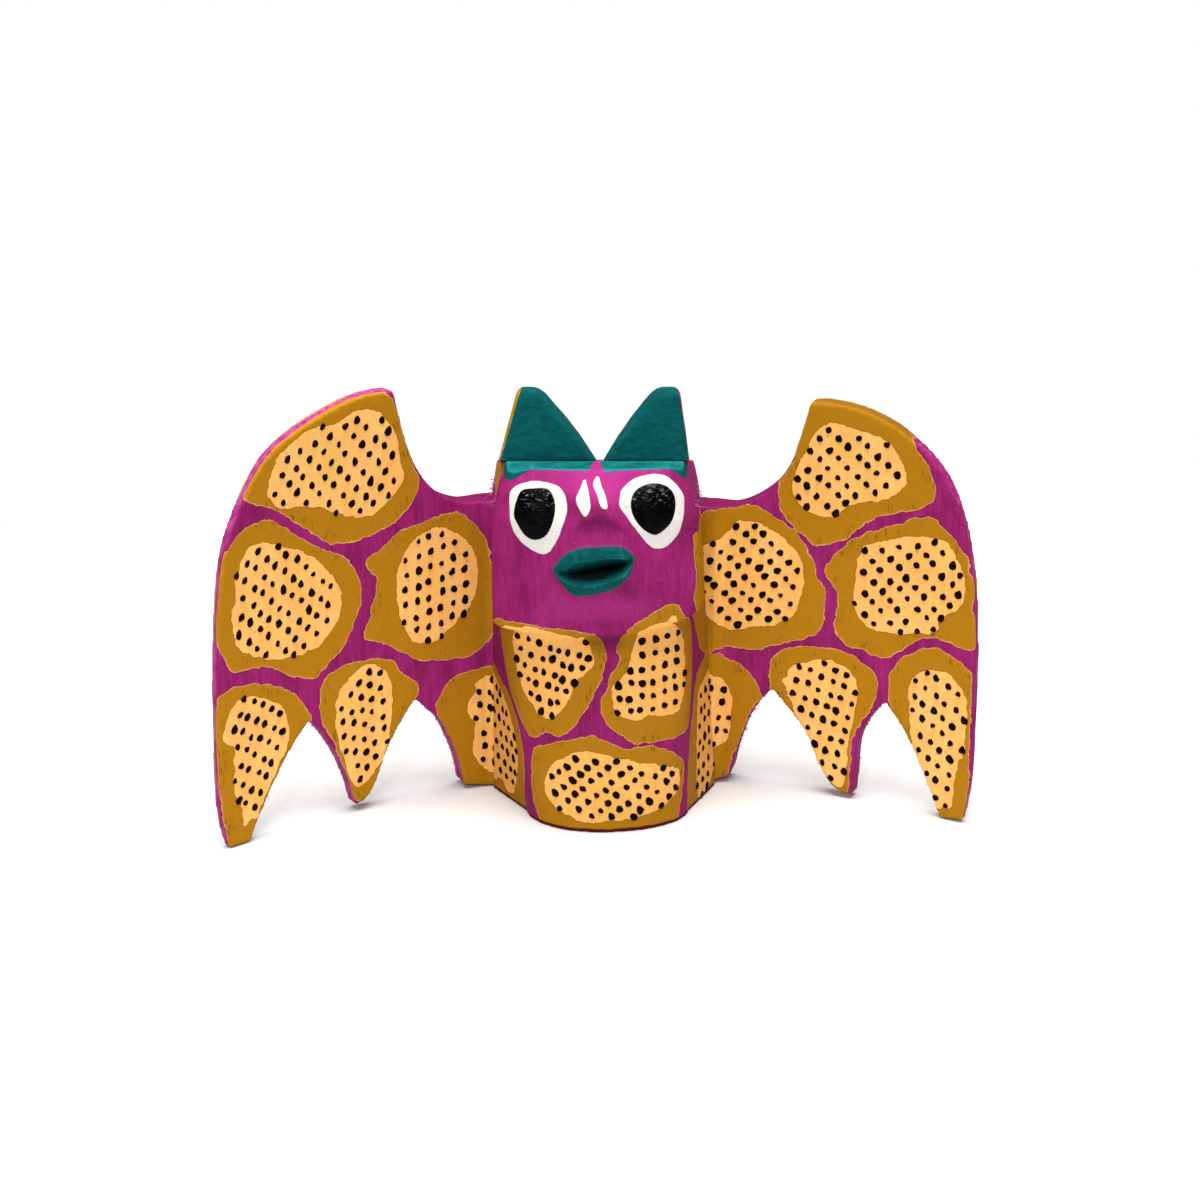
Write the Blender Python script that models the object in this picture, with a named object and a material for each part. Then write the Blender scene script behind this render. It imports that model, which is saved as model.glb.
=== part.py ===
"""A small carved wooden bat that stands on its own base and on its wing tips.

One block is the head and body. Two bowed boards are the wings and two wedges are the ears. They butt on flat
seats that are cut on the block, where round pegs hold them in glue.

Metres, +Z up. The origin is in the middle of the flat base. The bat faces -Y, and left and right are the viewer's:
the left wing is at -X.
"""

import math

import bmesh
import bpy
import numpy as np
from mathutils import Matrix, Vector

MM = 0.001

# --- Fits between the pieces -------------------------------------------------------------------------------------
GLUE_GAP = 0.3 * MM  # between two faces that are glued together
PEG_CLEARANCE = 0.25 * MM  # all round a peg in its hole
PEG_END_GAP = 0.3 * MM  # beyond each end of a peg

# --- Pegs --------------------------------------------------------------------------------------------------------
PEG_DIAMETER = 2.0 * MM
WING_PEG_DEPTH = 4.5 * MM  # in the body, and as much in the wing
EAR_PEG_DEPTH = 4.5 * MM  # in the head, and as much in the ear
PEG_SIDES = 16
WING_PEG_SHARES = {"lower": 0.42, "upper": 0.8}  # places up the wing's root
EAR_PEG_SETBACK = 6.0 * MM  # from the ear's front to its peg

# --- Head and body block -----------------------------------------------------------------------------------------
CHIN_HEIGHT = 31.6 * MM
HEAD_HEIGHT = 24.1 * MM  # chin to the brow
BODY_FRONT = 11.3 * MM  # from the origin to the front of the base
BODY_BACK = 13.8 * MM  # from the origin to the back of the sides, below the shoulder
BODY_BACK_AT_TOP = 10.2 * MM
BACK_CROWN = 1.0 * MM  # how far the middle of the back stands out from its sides
CHIN_TILT = 2.0 * MM  # how much higher the chin's edge is at the right side
CHIN_TILT_LEVELS = ((0, 0), (1, 1), (1.6, 0), (2, 0))  # share of that tilt, level by level
CHIN_TILT_CURVE = 1.5  # exponent of its rise from the middle to the right side
EAR_SEAT_SLOPE = math.radians(14)  # fall of the head's top towards the back

# Half-widths of the block where the wings butt on it, at the base, at the shoulder and at the top.
SHOULDER_HEIGHT = 48.0 * MM
SIDE = {
    "left": {"base": 16.7 * MM, "shoulder": 16.3 * MM, "top": 15.0 * MM},
    "right": {"base": 18.15 * MM, "shoulder": 15.1 * MM, "top": 13.3 * MM},
}
OUTWARD = {"left": -1, "right": 1}  # along X
SEAT_LAND = 1.2 * MM  # flat of the seat that shows in front of a wing

# The front of the block, level by level: 0 is the base, 1 the chin, 2 the top. The columns are the level, how far
# the front stands out from the base's front, how far the left and the right front corners stand in from the sides,
# and how far those corners stand back from the front.
FRONT = [
    (0.00, 0.0 * MM, 5.5 * MM, 4.6 * MM, 8.1 * MM),
    (0.50, -0.4 * MM, 3.4 * MM, 3.4 * MM, 7.8 * MM),
    (0.97, -0.9 * MM, 1.4 * MM, 2.4 * MM, 7.2 * MM),
    (1.00, 0.5 * MM, 0.6 * MM, 1.4 * MM, 5.6 * MM),
    (1.30, 1.0 * MM, 0.5 * MM, 1.0 * MM, 4.8 * MM),
    (1.70, 0.4 * MM, 0.7 * MM, 0.9 * MM, 4.0 * MM),
    (1.88, -0.7 * MM, 1.1 * MM, 1.0 * MM, 3.2 * MM),
    (2.00, -2.1 * MM, 1.6 * MM, 1.2 * MM, 2.4 * MM),
]
TORSO_ROUNDNESS = 2.1  # exponent of the front's curve across the block: 2 is an ellipse
HEAD_ROUNDNESS = 3.4
FRONT_FLATNESS = 1.7  # exponent of the same curve, from front to back

# The muzzle: how far it stands out of the face, as a share of its reach, and its half-width, level by level.
MUZZLE_REACH = 3.4 * MM
MUZZLE_STEEPNESS = 3  # exponent of its fall at the sides
MUZZLE = [
    (1.12, 0.00, 7.0 * MM),
    (1.30, 0.55, 7.0 * MM),
    (1.45, 0.80, 6.8 * MM),
    (1.62, 0.78, 5.6 * MM),
    (1.78, 1.00, 4.0 * MM),
    (1.82, 0.98, 3.8 * MM),
    (1.90, 0.55, 3.4 * MM),
    (2.00, 0.00, 3.2 * MM),
]

MOUTH_LEVEL = 1.46
MOUTH_OFFSET = -0.7 * MM  # of its middle, from the middle of the face
MOUTH_WIDTH = 10.2 * MM
MOUTH_OPENING = 2.1 * MM
MOUTH_DEPTH = 2.2 * MM
MOUTH_TILT = math.radians(9)  # the right corner is the higher one

SIDE_STEPS = 4
SEAT_STEPS = 3
BACK_STEPS = 6
FRONT_STEPS = 26
TORSO_STEPS = 8
FACE_STEPS = 23
UNDER_CHIN = 0.97  # level of the chin's underside, where the torso ends

# --- Wings -------------------------------------------------------------------------------------------------------
WING_THICKNESS = {"root": 4.6 * MM, "tip": 1.6 * MM}
WING_OVERRUN = 6.0 * MM  # stock left at the root, which the seat's plane cuts off
WING_STRIP = 4.0 * MM  # length of wing to each flat of its bow

# Each pattern is the wing laid flat, in millimetres from the foot of its root, along the wing and up. Each run is
# one smooth cut of the knife, and runs meet at corners. The patterns are stretched to the reach and the height.
WINGS = {}
WINGS["left"] = {
    "reach": 46.5 * MM,
    "height": 64.9 * MM,
    "setin": 6.45 * MM,  # of its front surface from the back of the block's side
    "heading": math.radians(22.7),  # of the root, from straight out towards the front
    "bow": math.radians(21.3),  # how much more the tip turns
    "pattern": [
        [(0, 46.6), (4.0, 46.6), (8.2, 48.6), (11.4, 52.5), (13.4, 58.0), (15.0, 64.9)],
        [(15.0, 64.9), (18.0, 64.8), (22.4, 64.1), (30.8, 60.9), (36.4, 57.2), (40.8, 50.8), (43.9, 43.9),
         (45.6, 32.0), (46.4, 18.0), (46.5, 7.0), (46.1, 3.5), (45.2, 0.1)],
        [(45.2, 0.1), (41.6, 0.2)],
        [(41.6, 0.2), (38.5, 6.0), (34.3, 12.4), (30.6, 16.6)],
        [(30.6, 16.6), (28.2, 13.7), (26.0, 9.8), (24.3, 5.5), (23.2, 1.0)],
        [(23.2, 1.0), (20.4, 3.0), (17.2, 10.0), (12.8, 16.5)],
        [(12.8, 16.5), (8.7, 12.3), (6.6, 8.0), (5.4, 4.4), (4.8, 0.8)],
        [(4.8, 0.8), (0, 0.0)],
    ],
}  # fmt: skip
WINGS["right"] = {
    "reach": 41.3 * MM,
    "height": 62.4 * MM,
    "setin": 5.2 * MM,
    "heading": math.radians(12.8),
    "bow": math.radians(23.7),
    "pattern": [
        [(0, 45.3), (3.0, 45.5), (7.3, 48.2), (10.6, 52.3), (12.3, 57.5), (13.6, 62.2)],
        [(13.6, 62.2), (16.4, 62.4), (22.1, 61.6), (28.2, 59.0), (34.5, 53.7), (38.2, 46.3), (40.3, 36.6),
         (41.1, 24.0), (41.3, 11.2), (40.9, 4.8), (40.2, 0.4)],
        [(40.2, 0.4), (36.5, 0.2)],
        [(36.5, 0.2), (33.5, 6.6), (30.1, 12.8), (26.8, 17.0)],
        [(26.8, 17.0), (24.2, 13.5), (22.6, 9.6), (22.3, 4.4), (22.1, 0.9)],
        [(22.1, 0.9), (19.4, 1.3), (17.0, 4.0), (13.8, 10.6), (8.7, 16.5)],
        [(8.7, 16.5), (5.4, 11.8), (3.3, 5.6), (2.4, 1.4)],
        [(2.4, 1.4), (0, 0.2)],
    ],
}  # fmt: skip

# --- Ears --------------------------------------------------------------------------------------------------------
EAR_HEIGHT = 9.9 * MM  # from the brow to the tip
EAR_SETBACK = 4.7 * MM  # of their front from the brow
EAR_BACK_SETBACK = 0.5 * MM  # of their back from the back of the head
EAR_NOTCH = 0.9 * MM  # left between the two ears at their foot
EAR_SIDE_INSET = 0.2 * MM  # from the side of the head
EAR_LEAN = 2.2 * MM  # how far the front leans back at the tip
EAR_TIP_DEPTH = 3.4 * MM
EAR_ROUNDING = 0.8 * MM
EAR_RINGS = ((0, 0), (0.3, 0), (0.6, 0), (0.9, 0), (0.97, 0.25), (1, 0.6))  # share of its height, roundings inward
EAR_TIP = {"left": (8.8 * MM, 12.0 * MM), "right": (8.1 * MM, 11.6 * MM)}  # from the middle, inner and outer

# --- Colours -----------------------------------------------------------------------------------------------------
MAGENTA = (0.33, 0.03, 0.15)
TEAL = (0.0, 0.13, 0.12)
BARE_WOOD = (0.62, 0.47, 0.28)
PAINT_ROUGHNESS = 0.5
WOOD_ROUGHNESS = 0.8


def clear_scene():
    for thing in list(bpy.data.objects):
        bpy.data.objects.remove(thing, do_unlink=True)


def material(name, colour, roughness):
    made = bpy.data.materials.new(name)
    made.use_nodes = True
    shader = made.node_tree.nodes["Principled BSDF"]
    shader.inputs["Base Color"].default_value = (*colour, 1)
    shader.inputs["Roughness"].default_value = roughness
    shader.inputs["Metallic"].default_value = 0
    return made


def object_of(name, bm, finish, parent):
    """The bmesh as an object with its faces pointing out."""
    bmesh.ops.triangulate(bm, faces=bm.faces)
    bmesh.ops.recalc_face_normals(bm, faces=bm.faces)
    mesh = bpy.data.meshes.new(name)
    bm.to_mesh(mesh)
    bm.free()
    mesh.materials.append(finish)
    made = bpy.data.objects.new(name, mesh)
    bpy.context.scene.collection.objects.link(made)
    made.parent = parent
    return made


def loft(rings):
    """A closed skin through rings of equally many points, with a flat cap at each end."""
    bm = bmesh.new()
    levels = [[bm.verts.new(point) for point in ring] for ring in rings]
    count = len(rings[0])
    for low, high in zip(levels, levels[1:]):
        for i in range(count):
            bm.faces.new((low[i], low[(i + 1) % count], high[(i + 1) % count], high[i]))
    bm.faces.new(levels[0])
    bm.faces.new(levels[-1])
    return bm


def cut(piece, cutter):
    modifier = piece.modifiers.new("cut by " + cutter.name, "BOOLEAN")
    modifier.operation = "DIFFERENCE"
    modifier.solver = "EXACT"
    modifier.object = cutter


def hide(cutter):
    cutter.hide_render = True
    cutter.display_type = "WIRE"
    return cutter


# --- The head and body block -------------------------------------------------------------------------------------
def height_of(level):
    if level <= 1:
        return level * CHIN_HEIGHT
    return CHIN_HEIGHT + (level - 1) * HEAD_HEIGHT


def head_top():
    return height_of(2)


def side_at(hand, height):
    """Half-width of the block at a height, straight from base to shoulder and from shoulder to top."""
    side = SIDE[hand]
    heights = (0, SHOULDER_HEIGHT, head_top())
    return float(np.interp(height, heights, (side["base"], side["shoulder"], side["top"])))


def back_at(height):
    """How far back the sides of the block reach, at a height."""
    return float(np.interp(height, (SHOULDER_HEIGHT, head_top()), (BODY_BACK, BODY_BACK_AT_TOP)))


def wing_root(hand):
    """Where a wing's front surface meets the side of the block at the base."""
    return OUTWARD[hand] * SIDE[hand]["base"], BODY_BACK - WINGS[hand]["setin"]


def land_edge(hand, height):
    """The front edge of the seat at a height: a little in front of where the wing's front surface meets it."""
    lean = SIDE[hand]["base"] - side_at(hand, height)
    return wing_root(hand)[1] + lean * math.tan(WINGS[hand]["heading"]) - SEAT_LAND


def ear_front():
    """Where the ears' front face meets the head's top, behind the brow."""
    return -(BODY_FRONT + FRONT[-1][1]) + EAR_SETBACK


def ear_seat_plane():
    """A point on the sloping top of the head that the ears stand on, and its outward normal."""
    normal = Vector((0, math.sin(EAR_SEAT_SLOPE), math.cos(EAR_SEAT_SLOPE)))
    return Vector((0, ear_front(), head_top())), normal


def ear_seat_height(y):
    return head_top() - (y - ear_front()) * math.tan(EAR_SEAT_SLOPE)


def muzzle_at(level, x):
    levels, shares, widths = zip(*MUZZLE)
    share = np.interp(level, levels, shares)
    width = np.interp(level, levels, widths)
    return float(MUZZLE_REACH * share * math.exp(-(abs(x / width) ** MUZZLE_STEEPNESS)))


def body_ring(level):
    """One level section of the block, from its left back corner round the front to its right back corner."""
    columns = list(zip(*FRONT))
    out, left_in, right_in, setback = (float(np.interp(level, columns[0], column)) for column in columns[1:])
    roundness = TORSO_ROUNDNESS if level < 1 else HEAD_ROUNDNESS
    tilt = CHIN_TILT * float(np.interp(level, *zip(*CHIN_TILT_LEVELS)))
    low, high = height_of(level), height_of(level) + tilt
    left, right = side_at("left", low), side_at("right", high)
    front = -(BODY_FRONT + out)
    corner = front + setback
    back = back_at(low)
    left_land, right_land = land_edge("left", low), land_edge("right", high)
    ring = []
    for i in range(SEAT_STEPS):
        ring.append((-left, back + (left_land - back) * i / SEAT_STEPS, low))
    for i in range(SIDE_STEPS):
        t = i / SIDE_STEPS
        ring.append((-left + left_in * t, left_land + (corner - left_land) * t, low))
    for i in range(FRONT_STEPS + 1):
        s = math.sin(math.pi * (i / FRONT_STEPS - 0.5))
        x = s * ((left - left_in) if s < 0 else (right - right_in))
        y = corner + (front - corner) * (1 - abs(s) ** roundness) ** (1 / FRONT_FLATNESS)
        ring.append((x, y - muzzle_at(level, x), low + tilt * max(s, 0) ** CHIN_TILT_CURVE))
    for i in range(1, SIDE_STEPS + 1):
        t = i / SIDE_STEPS
        ring.append((right - right_in * (1 - t), corner + (right_land - corner) * t, high))
    for i in range(1, SEAT_STEPS + 1):
        ring.append((right, right_land + (back - right_land) * i / SEAT_STEPS, high))
    for i in range(1, BACK_STEPS):
        t = i / BACK_STEPS
        crown = BACK_CROWN * 4 * t * (1 - t)
        ring.append((right + (-left - right) * t, back + crown, high + (low - high) * t))
    return ring


def body_levels():
    """The levels of the block's sections: close together over the face, where the muzzle curves."""
    torso = np.linspace(0, UNDER_CHIN, TORSO_STEPS, endpoint=False)
    face = np.linspace(1, 2, FACE_STEPS + 1)
    return [*torso, UNDER_CHIN, *face]


def make_head_and_body(finish, parent):
    bm = loft([body_ring(level) for level in body_levels()])
    everything = bm.verts[:] + bm.edges[:] + bm.faces[:]
    place, normal = ear_seat_plane()
    bmesh.ops.bisect_plane(bm, geom=everything, plane_co=place, plane_no=normal, clear_outer=True)
    bmesh.ops.holes_fill(bm, edges=[edge for edge in bm.edges if edge.is_boundary])
    return object_of("head_and_body", bm, finish, parent)


def make_mouth_cutter(finish, parent):
    """A lens lying across the muzzle, which leaves a slit with pointed corners."""
    bm = bmesh.new()
    bmesh.ops.create_uvsphere(bm, u_segments=24, v_segments=12, radius=0.5)
    front = -(BODY_FRONT + np.interp(MOUTH_LEVEL, *list(zip(*FRONT))[:2])) - muzzle_at(MOUTH_LEVEL, 0)
    size = Matrix.Diagonal((MOUTH_WIDTH, 2 * MOUTH_DEPTH, MOUTH_OPENING, 1))
    turn = Matrix.Rotation(-MOUTH_TILT, 4, "Y")
    place = Matrix.Translation((MOUTH_OFFSET, front, height_of(MOUTH_LEVEL)))
    bmesh.ops.transform(bm, matrix=place @ turn @ size, verts=bm.verts)
    return hide(object_of("mouth_cutter", bm, finish, parent))


# --- Wings -------------------------------------------------------------------------------------------------------
def smooth_run(points, steps=4):
    """A Catmull-Rom curve through the points of one knife cut, without its last point."""
    if len(points) == 2:
        return [points[0]]
    ends = [2 * np.array(points[0]) - points[1], *map(np.array, points), 2 * np.array(points[-1]) - points[-2]]
    curve = []
    for a, b, c, d in zip(ends, ends[1:], ends[2:], ends[3:]):
        for i in range(steps):
            t = i / steps
            curve.append(
                0.5 * (2 * b + (c - a) * t + (2 * a - 5 * b + 4 * c - d) * t**2 + (3 * b - a - 3 * c + d) * t**3)
            )
    return curve


def wing_outline(hand):
    """The wing laid flat, (along, up) in metres, with its overrun at the root."""
    wing = WINGS[hand]
    points = [point for run in wing["pattern"] for point in smooth_run(run)] + [wing["pattern"][-1][-1]]
    drawn = np.array(points, float)
    outline = drawn * (wing["reach"] / drawn[:, 0].max(), wing["height"] / drawn[:, 1].max())
    foot, top = outline[-1], outline[0]
    return [*outline, (-WING_OVERRUN, foot[1]), (-WING_OVERRUN, top[1])]


def wing_point(hand, along, depth, up):
    """Where a point of the flat wing goes when the wing is bowed: depth runs from the front surface to the back."""
    wing = WINGS[hand]
    radius = wing["reach"] / wing["bow"]
    start, angle = wing["heading"], wing["heading"] + along / radius
    out = radius * (math.sin(angle) - math.sin(start)) + depth * math.sin(angle)
    back = radius * (math.cos(angle) - math.cos(start)) + depth * math.cos(angle)
    x, y = wing_root(hand)
    return Vector((x + OUTWARD[hand] * out, y + back, up))


def wing_thickness(hand, along):
    ends = (0, WINGS[hand]["reach"])
    return float(np.interp(along, ends, (WING_THICKNESS["root"], WING_THICKNESS["tip"])))


def wing_seat_plane(hand):
    """A point on the seat that the wing butts on, shifted by the glue's gap, and the seat's outward normal."""
    side = SIDE[hand]
    slope = (side["shoulder"] - side["base"]) / SHOULDER_HEIGHT
    normal = Vector((OUTWARD[hand], 0, -slope)).normalized()
    return Vector((OUTWARD[hand] * side["base"], 0, 0)) + normal * GLUE_GAP, normal


def make_wing(hand, finish, parent):
    bm = bmesh.new()
    bm.faces.new([bm.verts.new((along, 0, up)) for along, up in wing_outline(hand)])
    for i in range(-1, int(WINGS[hand]["reach"] / WING_STRIP) + 1):
        everything = bm.verts[:] + bm.edges[:] + bm.faces[:]
        bmesh.ops.bisect_plane(bm, geom=everything, plane_co=(i * WING_STRIP, 0, 0), plane_no=(1, 0, 0))
    front = set(bm.verts)
    bmesh.ops.solidify(bm, geom=bm.faces[:], thickness=WING_THICKNESS["root"])
    for vert in bm.verts:
        along, up = vert.co.x, vert.co.z
        depth = 0 if vert in front else wing_thickness(hand, along)
        vert.co = wing_point(hand, along, depth, up)
    place, normal = wing_seat_plane(hand)
    everything = bm.verts[:] + bm.edges[:] + bm.faces[:]
    bmesh.ops.bisect_plane(bm, geom=everything, plane_co=place, plane_no=normal, clear_inner=True)
    bmesh.ops.holes_fill(bm, edges=[edge for edge in bm.edges if edge.is_boundary])
    return object_of(hand + "_wing", bm, finish, parent)


# --- Pegs --------------------------------------------------------------------------------------------------------
def round_bar(name, place, direction, radius, half_length, finish, parent):
    bm = bmesh.new()
    bmesh.ops.create_cone(
        bm, cap_ends=True, segments=PEG_SIDES, radius1=radius, radius2=radius, depth=2 * half_length
    )
    made = object_of(name, bm, finish, parent)
    made.location = place
    made.rotation_euler = direction.to_track_quat("Z", "Y").to_euler()
    return made


def make_peg(name, place, direction, depth, joined, finish, parent):
    """A peg through a joint, and the holes that it needs in the two pieces."""
    peg = round_bar(name, place, direction, PEG_DIAMETER / 2, depth, finish, parent)
    hole_radius = PEG_DIAMETER / 2 + PEG_CLEARANCE
    hole = hide(round_bar(name + "_hole", place, direction, hole_radius, depth + PEG_END_GAP, finish, parent))
    for piece in joined:
        cut(piece, hole)
    return peg


def wing_peg_axis(hand, share):
    """Where a wing's peg crosses its seat, in the middle of the root's thickness, and its direction."""
    up = wing_outline(hand)[0][1] * share
    direction = (wing_point(hand, WING_PEG_DEPTH, 0, up) - wing_point(hand, 0, 0, up)).normalized()
    middle = wing_point(hand, 0, WING_THICKNESS["root"] / 2, up)
    to_seat = (OUTWARD[hand] * side_at(hand, up) - middle.x) / direction.x
    return middle + direction * to_seat, direction


# --- Ears --------------------------------------------------------------------------------------------------------
def rounded_box_ring(low, high, radius, steps=3):
    """A rectangle between two corners, with its own corners rounded."""
    ring = []
    corners = ((high[0], high[1]), (low[0], high[1]), (low[0], low[1]), (high[0], low[1]))
    for quarter, (x, y) in enumerate(corners):
        cx = x - math.copysign(radius, x - (low[0] + high[0]) / 2)
        cy = y - math.copysign(radius, y - (low[1] + high[1]) / 2)
        for i in range(steps + 1):
            angle = math.pi / 2 * (quarter + i / steps)
            ring.append((cx + radius * math.cos(angle), cy + radius * math.sin(angle)))
    return ring


def ear_foot(hand):
    """Inner and outer edge and front and back of an ear's foot, as distances from the middle and as Y."""
    outer = SIDE[hand]["top"] - EAR_SIDE_INSET
    return EAR_NOTCH / 2, outer, ear_front(), BODY_BACK_AT_TOP - EAR_BACK_SETBACK


def make_ear(hand, finish, parent):
    inner, outer, front, back = ear_foot(hand)
    tip_inner, tip_outer = EAR_TIP[hand]
    tip_front = front + EAR_LEAN
    top = head_top() + EAR_HEIGHT
    rings = []
    for rise, shrink in EAR_RINGS:
        near = OUTWARD[hand] * (inner + (tip_inner - inner) * rise + EAR_ROUNDING * shrink)
        far = OUTWARD[hand] * (outer + (tip_outer - outer) * rise - EAR_ROUNDING * shrink)
        low = (min(near, far), front + (tip_front - front) * rise + EAR_ROUNDING * shrink)
        high = (max(near, far), back + (tip_front + EAR_TIP_DEPTH - back) * rise - EAR_ROUNDING * shrink)
        ring = rounded_box_ring(low, high, EAR_ROUNDING)
        feet = [ear_seat_height(y) + GLUE_GAP / math.cos(EAR_SEAT_SLOPE) for _, y in ring]
        rings.append([(x, y, foot + (top - foot) * rise) for (x, y), foot in zip(ring, feet)])
    return object_of(hand + "_ear", loft(rings), finish, parent)


def ear_peg_place(hand):
    inner, outer, front, _ = ear_foot(hand)
    y = front + EAR_PEG_SETBACK
    return Vector((OUTWARD[hand] * (inner + outer) / 2, y, ear_seat_height(y)))


# --- The bat -----------------------------------------------------------------------------------------------------
def main():
    clear_scene()
    bat = bpy.data.objects.new("bat", None)
    bpy.context.scene.collection.objects.link(bat)
    magenta = material("magenta_paint", MAGENTA, PAINT_ROUGHNESS)
    teal = material("teal_paint", TEAL, PAINT_ROUGHNESS)
    bare = material("bare_wood", BARE_WOOD, WOOD_ROUGHNESS)

    body = make_head_and_body(magenta, bat)
    cut(body, make_mouth_cutter(magenta, bat))
    for hand in ("left", "right"):
        wing = make_wing(hand, magenta, bat)
        for row, share in WING_PEG_SHARES.items():
            place, axis = wing_peg_axis(hand, share)
            make_peg(f"{hand}_wing_{row}_peg", place, axis, WING_PEG_DEPTH, (body, wing), bare, bat)
        ear = make_ear(hand, teal, bat)
        upright = Vector((0, 0, 1))
        make_peg(hand + "_ear_peg", ear_peg_place(hand), upright, EAR_PEG_DEPTH, (body, ear), bare, bat)


main()
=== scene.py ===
# %% [markdown]
# # A small carved and painted bat
# The real one is whittled from soft copal wood and painted by hand with thick acrylic: a magenta ground,
# ochre patches with cream hearts, and hundreds of dark dots, each one touch of a stick. This lesson takes
# the plain carved solids and gives them their knife-worn skin, their paint and their dots. Lengths are
# worked out in millimetres, and the meshes hold metres.

# %% Tools and the plain solids
import math

import bmesh
import bpy
import numpy as np
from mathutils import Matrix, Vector, noise
from mathutils.bvhtree import BVHTree


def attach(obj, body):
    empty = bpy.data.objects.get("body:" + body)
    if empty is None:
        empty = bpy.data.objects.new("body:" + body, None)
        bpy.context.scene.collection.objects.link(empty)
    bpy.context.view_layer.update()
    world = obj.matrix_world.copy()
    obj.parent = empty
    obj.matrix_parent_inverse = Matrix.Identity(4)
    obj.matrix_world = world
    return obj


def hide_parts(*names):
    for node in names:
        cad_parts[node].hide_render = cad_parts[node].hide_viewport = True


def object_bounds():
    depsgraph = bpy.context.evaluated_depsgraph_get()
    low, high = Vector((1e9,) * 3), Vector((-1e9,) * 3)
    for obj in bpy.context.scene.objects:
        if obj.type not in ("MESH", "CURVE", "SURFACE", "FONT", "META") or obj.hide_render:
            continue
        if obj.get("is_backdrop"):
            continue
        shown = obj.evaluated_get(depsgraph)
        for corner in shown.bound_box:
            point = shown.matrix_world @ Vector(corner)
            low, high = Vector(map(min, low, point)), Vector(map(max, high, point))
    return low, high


MM = 0.001
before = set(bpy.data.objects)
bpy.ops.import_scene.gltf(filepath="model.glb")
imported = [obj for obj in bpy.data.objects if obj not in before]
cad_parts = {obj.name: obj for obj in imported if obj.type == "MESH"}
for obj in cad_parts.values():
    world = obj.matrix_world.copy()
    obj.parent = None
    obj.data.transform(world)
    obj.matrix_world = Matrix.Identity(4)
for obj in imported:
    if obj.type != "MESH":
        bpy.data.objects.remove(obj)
solid_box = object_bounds()
print("the plain solids:", sorted(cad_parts))

# %% [markdown]
# ## Camera
# A figure this small is looked at from arm's length and a little above. A 70 mm lens from 35 cm keeps its
# wings in proportion, and the camera looks at the middle of the body.

# %% Camera
LOOK_AT_HEIGHT_MM = 33
DISTANCE_MM = 350
LOOKING_DOWN = math.radians(18)

camera = bpy.data.objects.new("camera", bpy.data.cameras.new("camera"))
camera.data.lens = 70
camera.data.sensor_width = 36
camera.data.clip_start = 0.01
camera.location = (
    0,
    -DISTANCE_MM * math.cos(LOOKING_DOWN) * MM,
    (LOOK_AT_HEIGHT_MM + DISTANCE_MM * math.sin(LOOKING_DOWN)) * MM,
)
camera.rotation_euler = (math.pi / 2 - LOOKING_DOWN, 0, 0)
bpy.context.scene.collection.objects.link(camera)
bpy.context.scene.camera = camera
print("camera at", [round(c, 4) for c in camera.location])

# %% [markdown]
# ## Light and floor
# A white tent lights a small object evenly, and one broad panel overhead adds the light that brightens
# whatever faces up. A small window in front leaves its reflection in the pupils. The sky stands for the
# tent. The floor is a plain pale disc, small enough to stay bright to its rim, where the tent takes over.


# %% Light and floor
LIT_POINT = Vector((0, 0, 0.03))  # both lamps are turned to the middle of the figure


def soft_panel(name, place, size, watts):
    lamp = bpy.data.lights.new(name, "AREA")
    lamp.shape = "DISK"
    lamp.size = size
    lamp.energy = watts
    hung = bpy.data.objects.new(name, lamp)
    hung.location = place
    hung.rotation_euler = (LIT_POINT - Vector(place)).to_track_quat("-Z", "Y").to_euler()
    bpy.context.scene.collection.objects.link(hung)


soft_panel("overhead_panel", (0.0, -0.1, 0.9), 0.8, 16.2)
soft_panel("window", (-0.07, -0.42, 0.27), 0.045, 0.5)

TENT_LIGHT = 0.3  # what the tent gives the figure; behind it, the tent itself shows as plain white
sky = bpy.data.worlds.new("white tent")
sky.use_nodes = True
seen = sky.node_tree.nodes.new("ShaderNodeLightPath").outputs["Is Camera Ray"]
brightness = sky.node_tree.nodes.new("ShaderNodeMapRange")
brightness.inputs["To Min"].default_value = TENT_LIGHT
brightness.inputs["To Max"].default_value = 1.0
sky.node_tree.links.new(seen, brightness.inputs["Value"])
sky.node_tree.links.new(brightness.outputs[0], sky.node_tree.nodes["Background"].inputs["Strength"])
sky.node_tree.nodes["Background"].inputs["Color"].default_value = (1, 1, 1, 1)
bpy.context.scene.world = sky
bpy.context.scene.view_settings.view_transform = "Standard"

FLOOR_RADIUS_MM, FLOOR_SIDES = 200, 96
FLOOR_DROP_MM = 0.02  # below the figure's foot, so that the two don't share a plane
FLOOR_GREY, FLOOR_ROUGHNESS = 0.7, 0.9
angles = [math.tau * i / FLOOR_SIDES for i in range(FLOOR_SIDES)]
rim = [(FLOOR_RADIUS_MM * MM * math.cos(a), FLOOR_RADIUS_MM * MM * math.sin(a), 0) for a in angles]
floor_mesh = bpy.data.meshes.new("floor")
floor_mesh.from_pydata(rim, [], [tuple(range(FLOOR_SIDES))])
floor = bpy.data.objects.new("floor", floor_mesh)
floor.location.z = -FLOOR_DROP_MM * MM
bpy.context.scene.collection.objects.link(floor)
pale = bpy.data.materials.new("pale_floor")
pale.use_nodes = True
floor_shader = pale.node_tree.nodes["Principled BSDF"]
floor_shader.inputs["Base Color"].default_value = (FLOOR_GREY, FLOOR_GREY, FLOOR_GREY, 1)
floor_shader.inputs["Roughness"].default_value = FLOOR_ROUGHNESS
floor_mesh.materials.append(pale)
floor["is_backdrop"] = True
print("two panels, a tent and a floor of", 2 * FLOOR_RADIUS_MM, "mm across")

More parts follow.
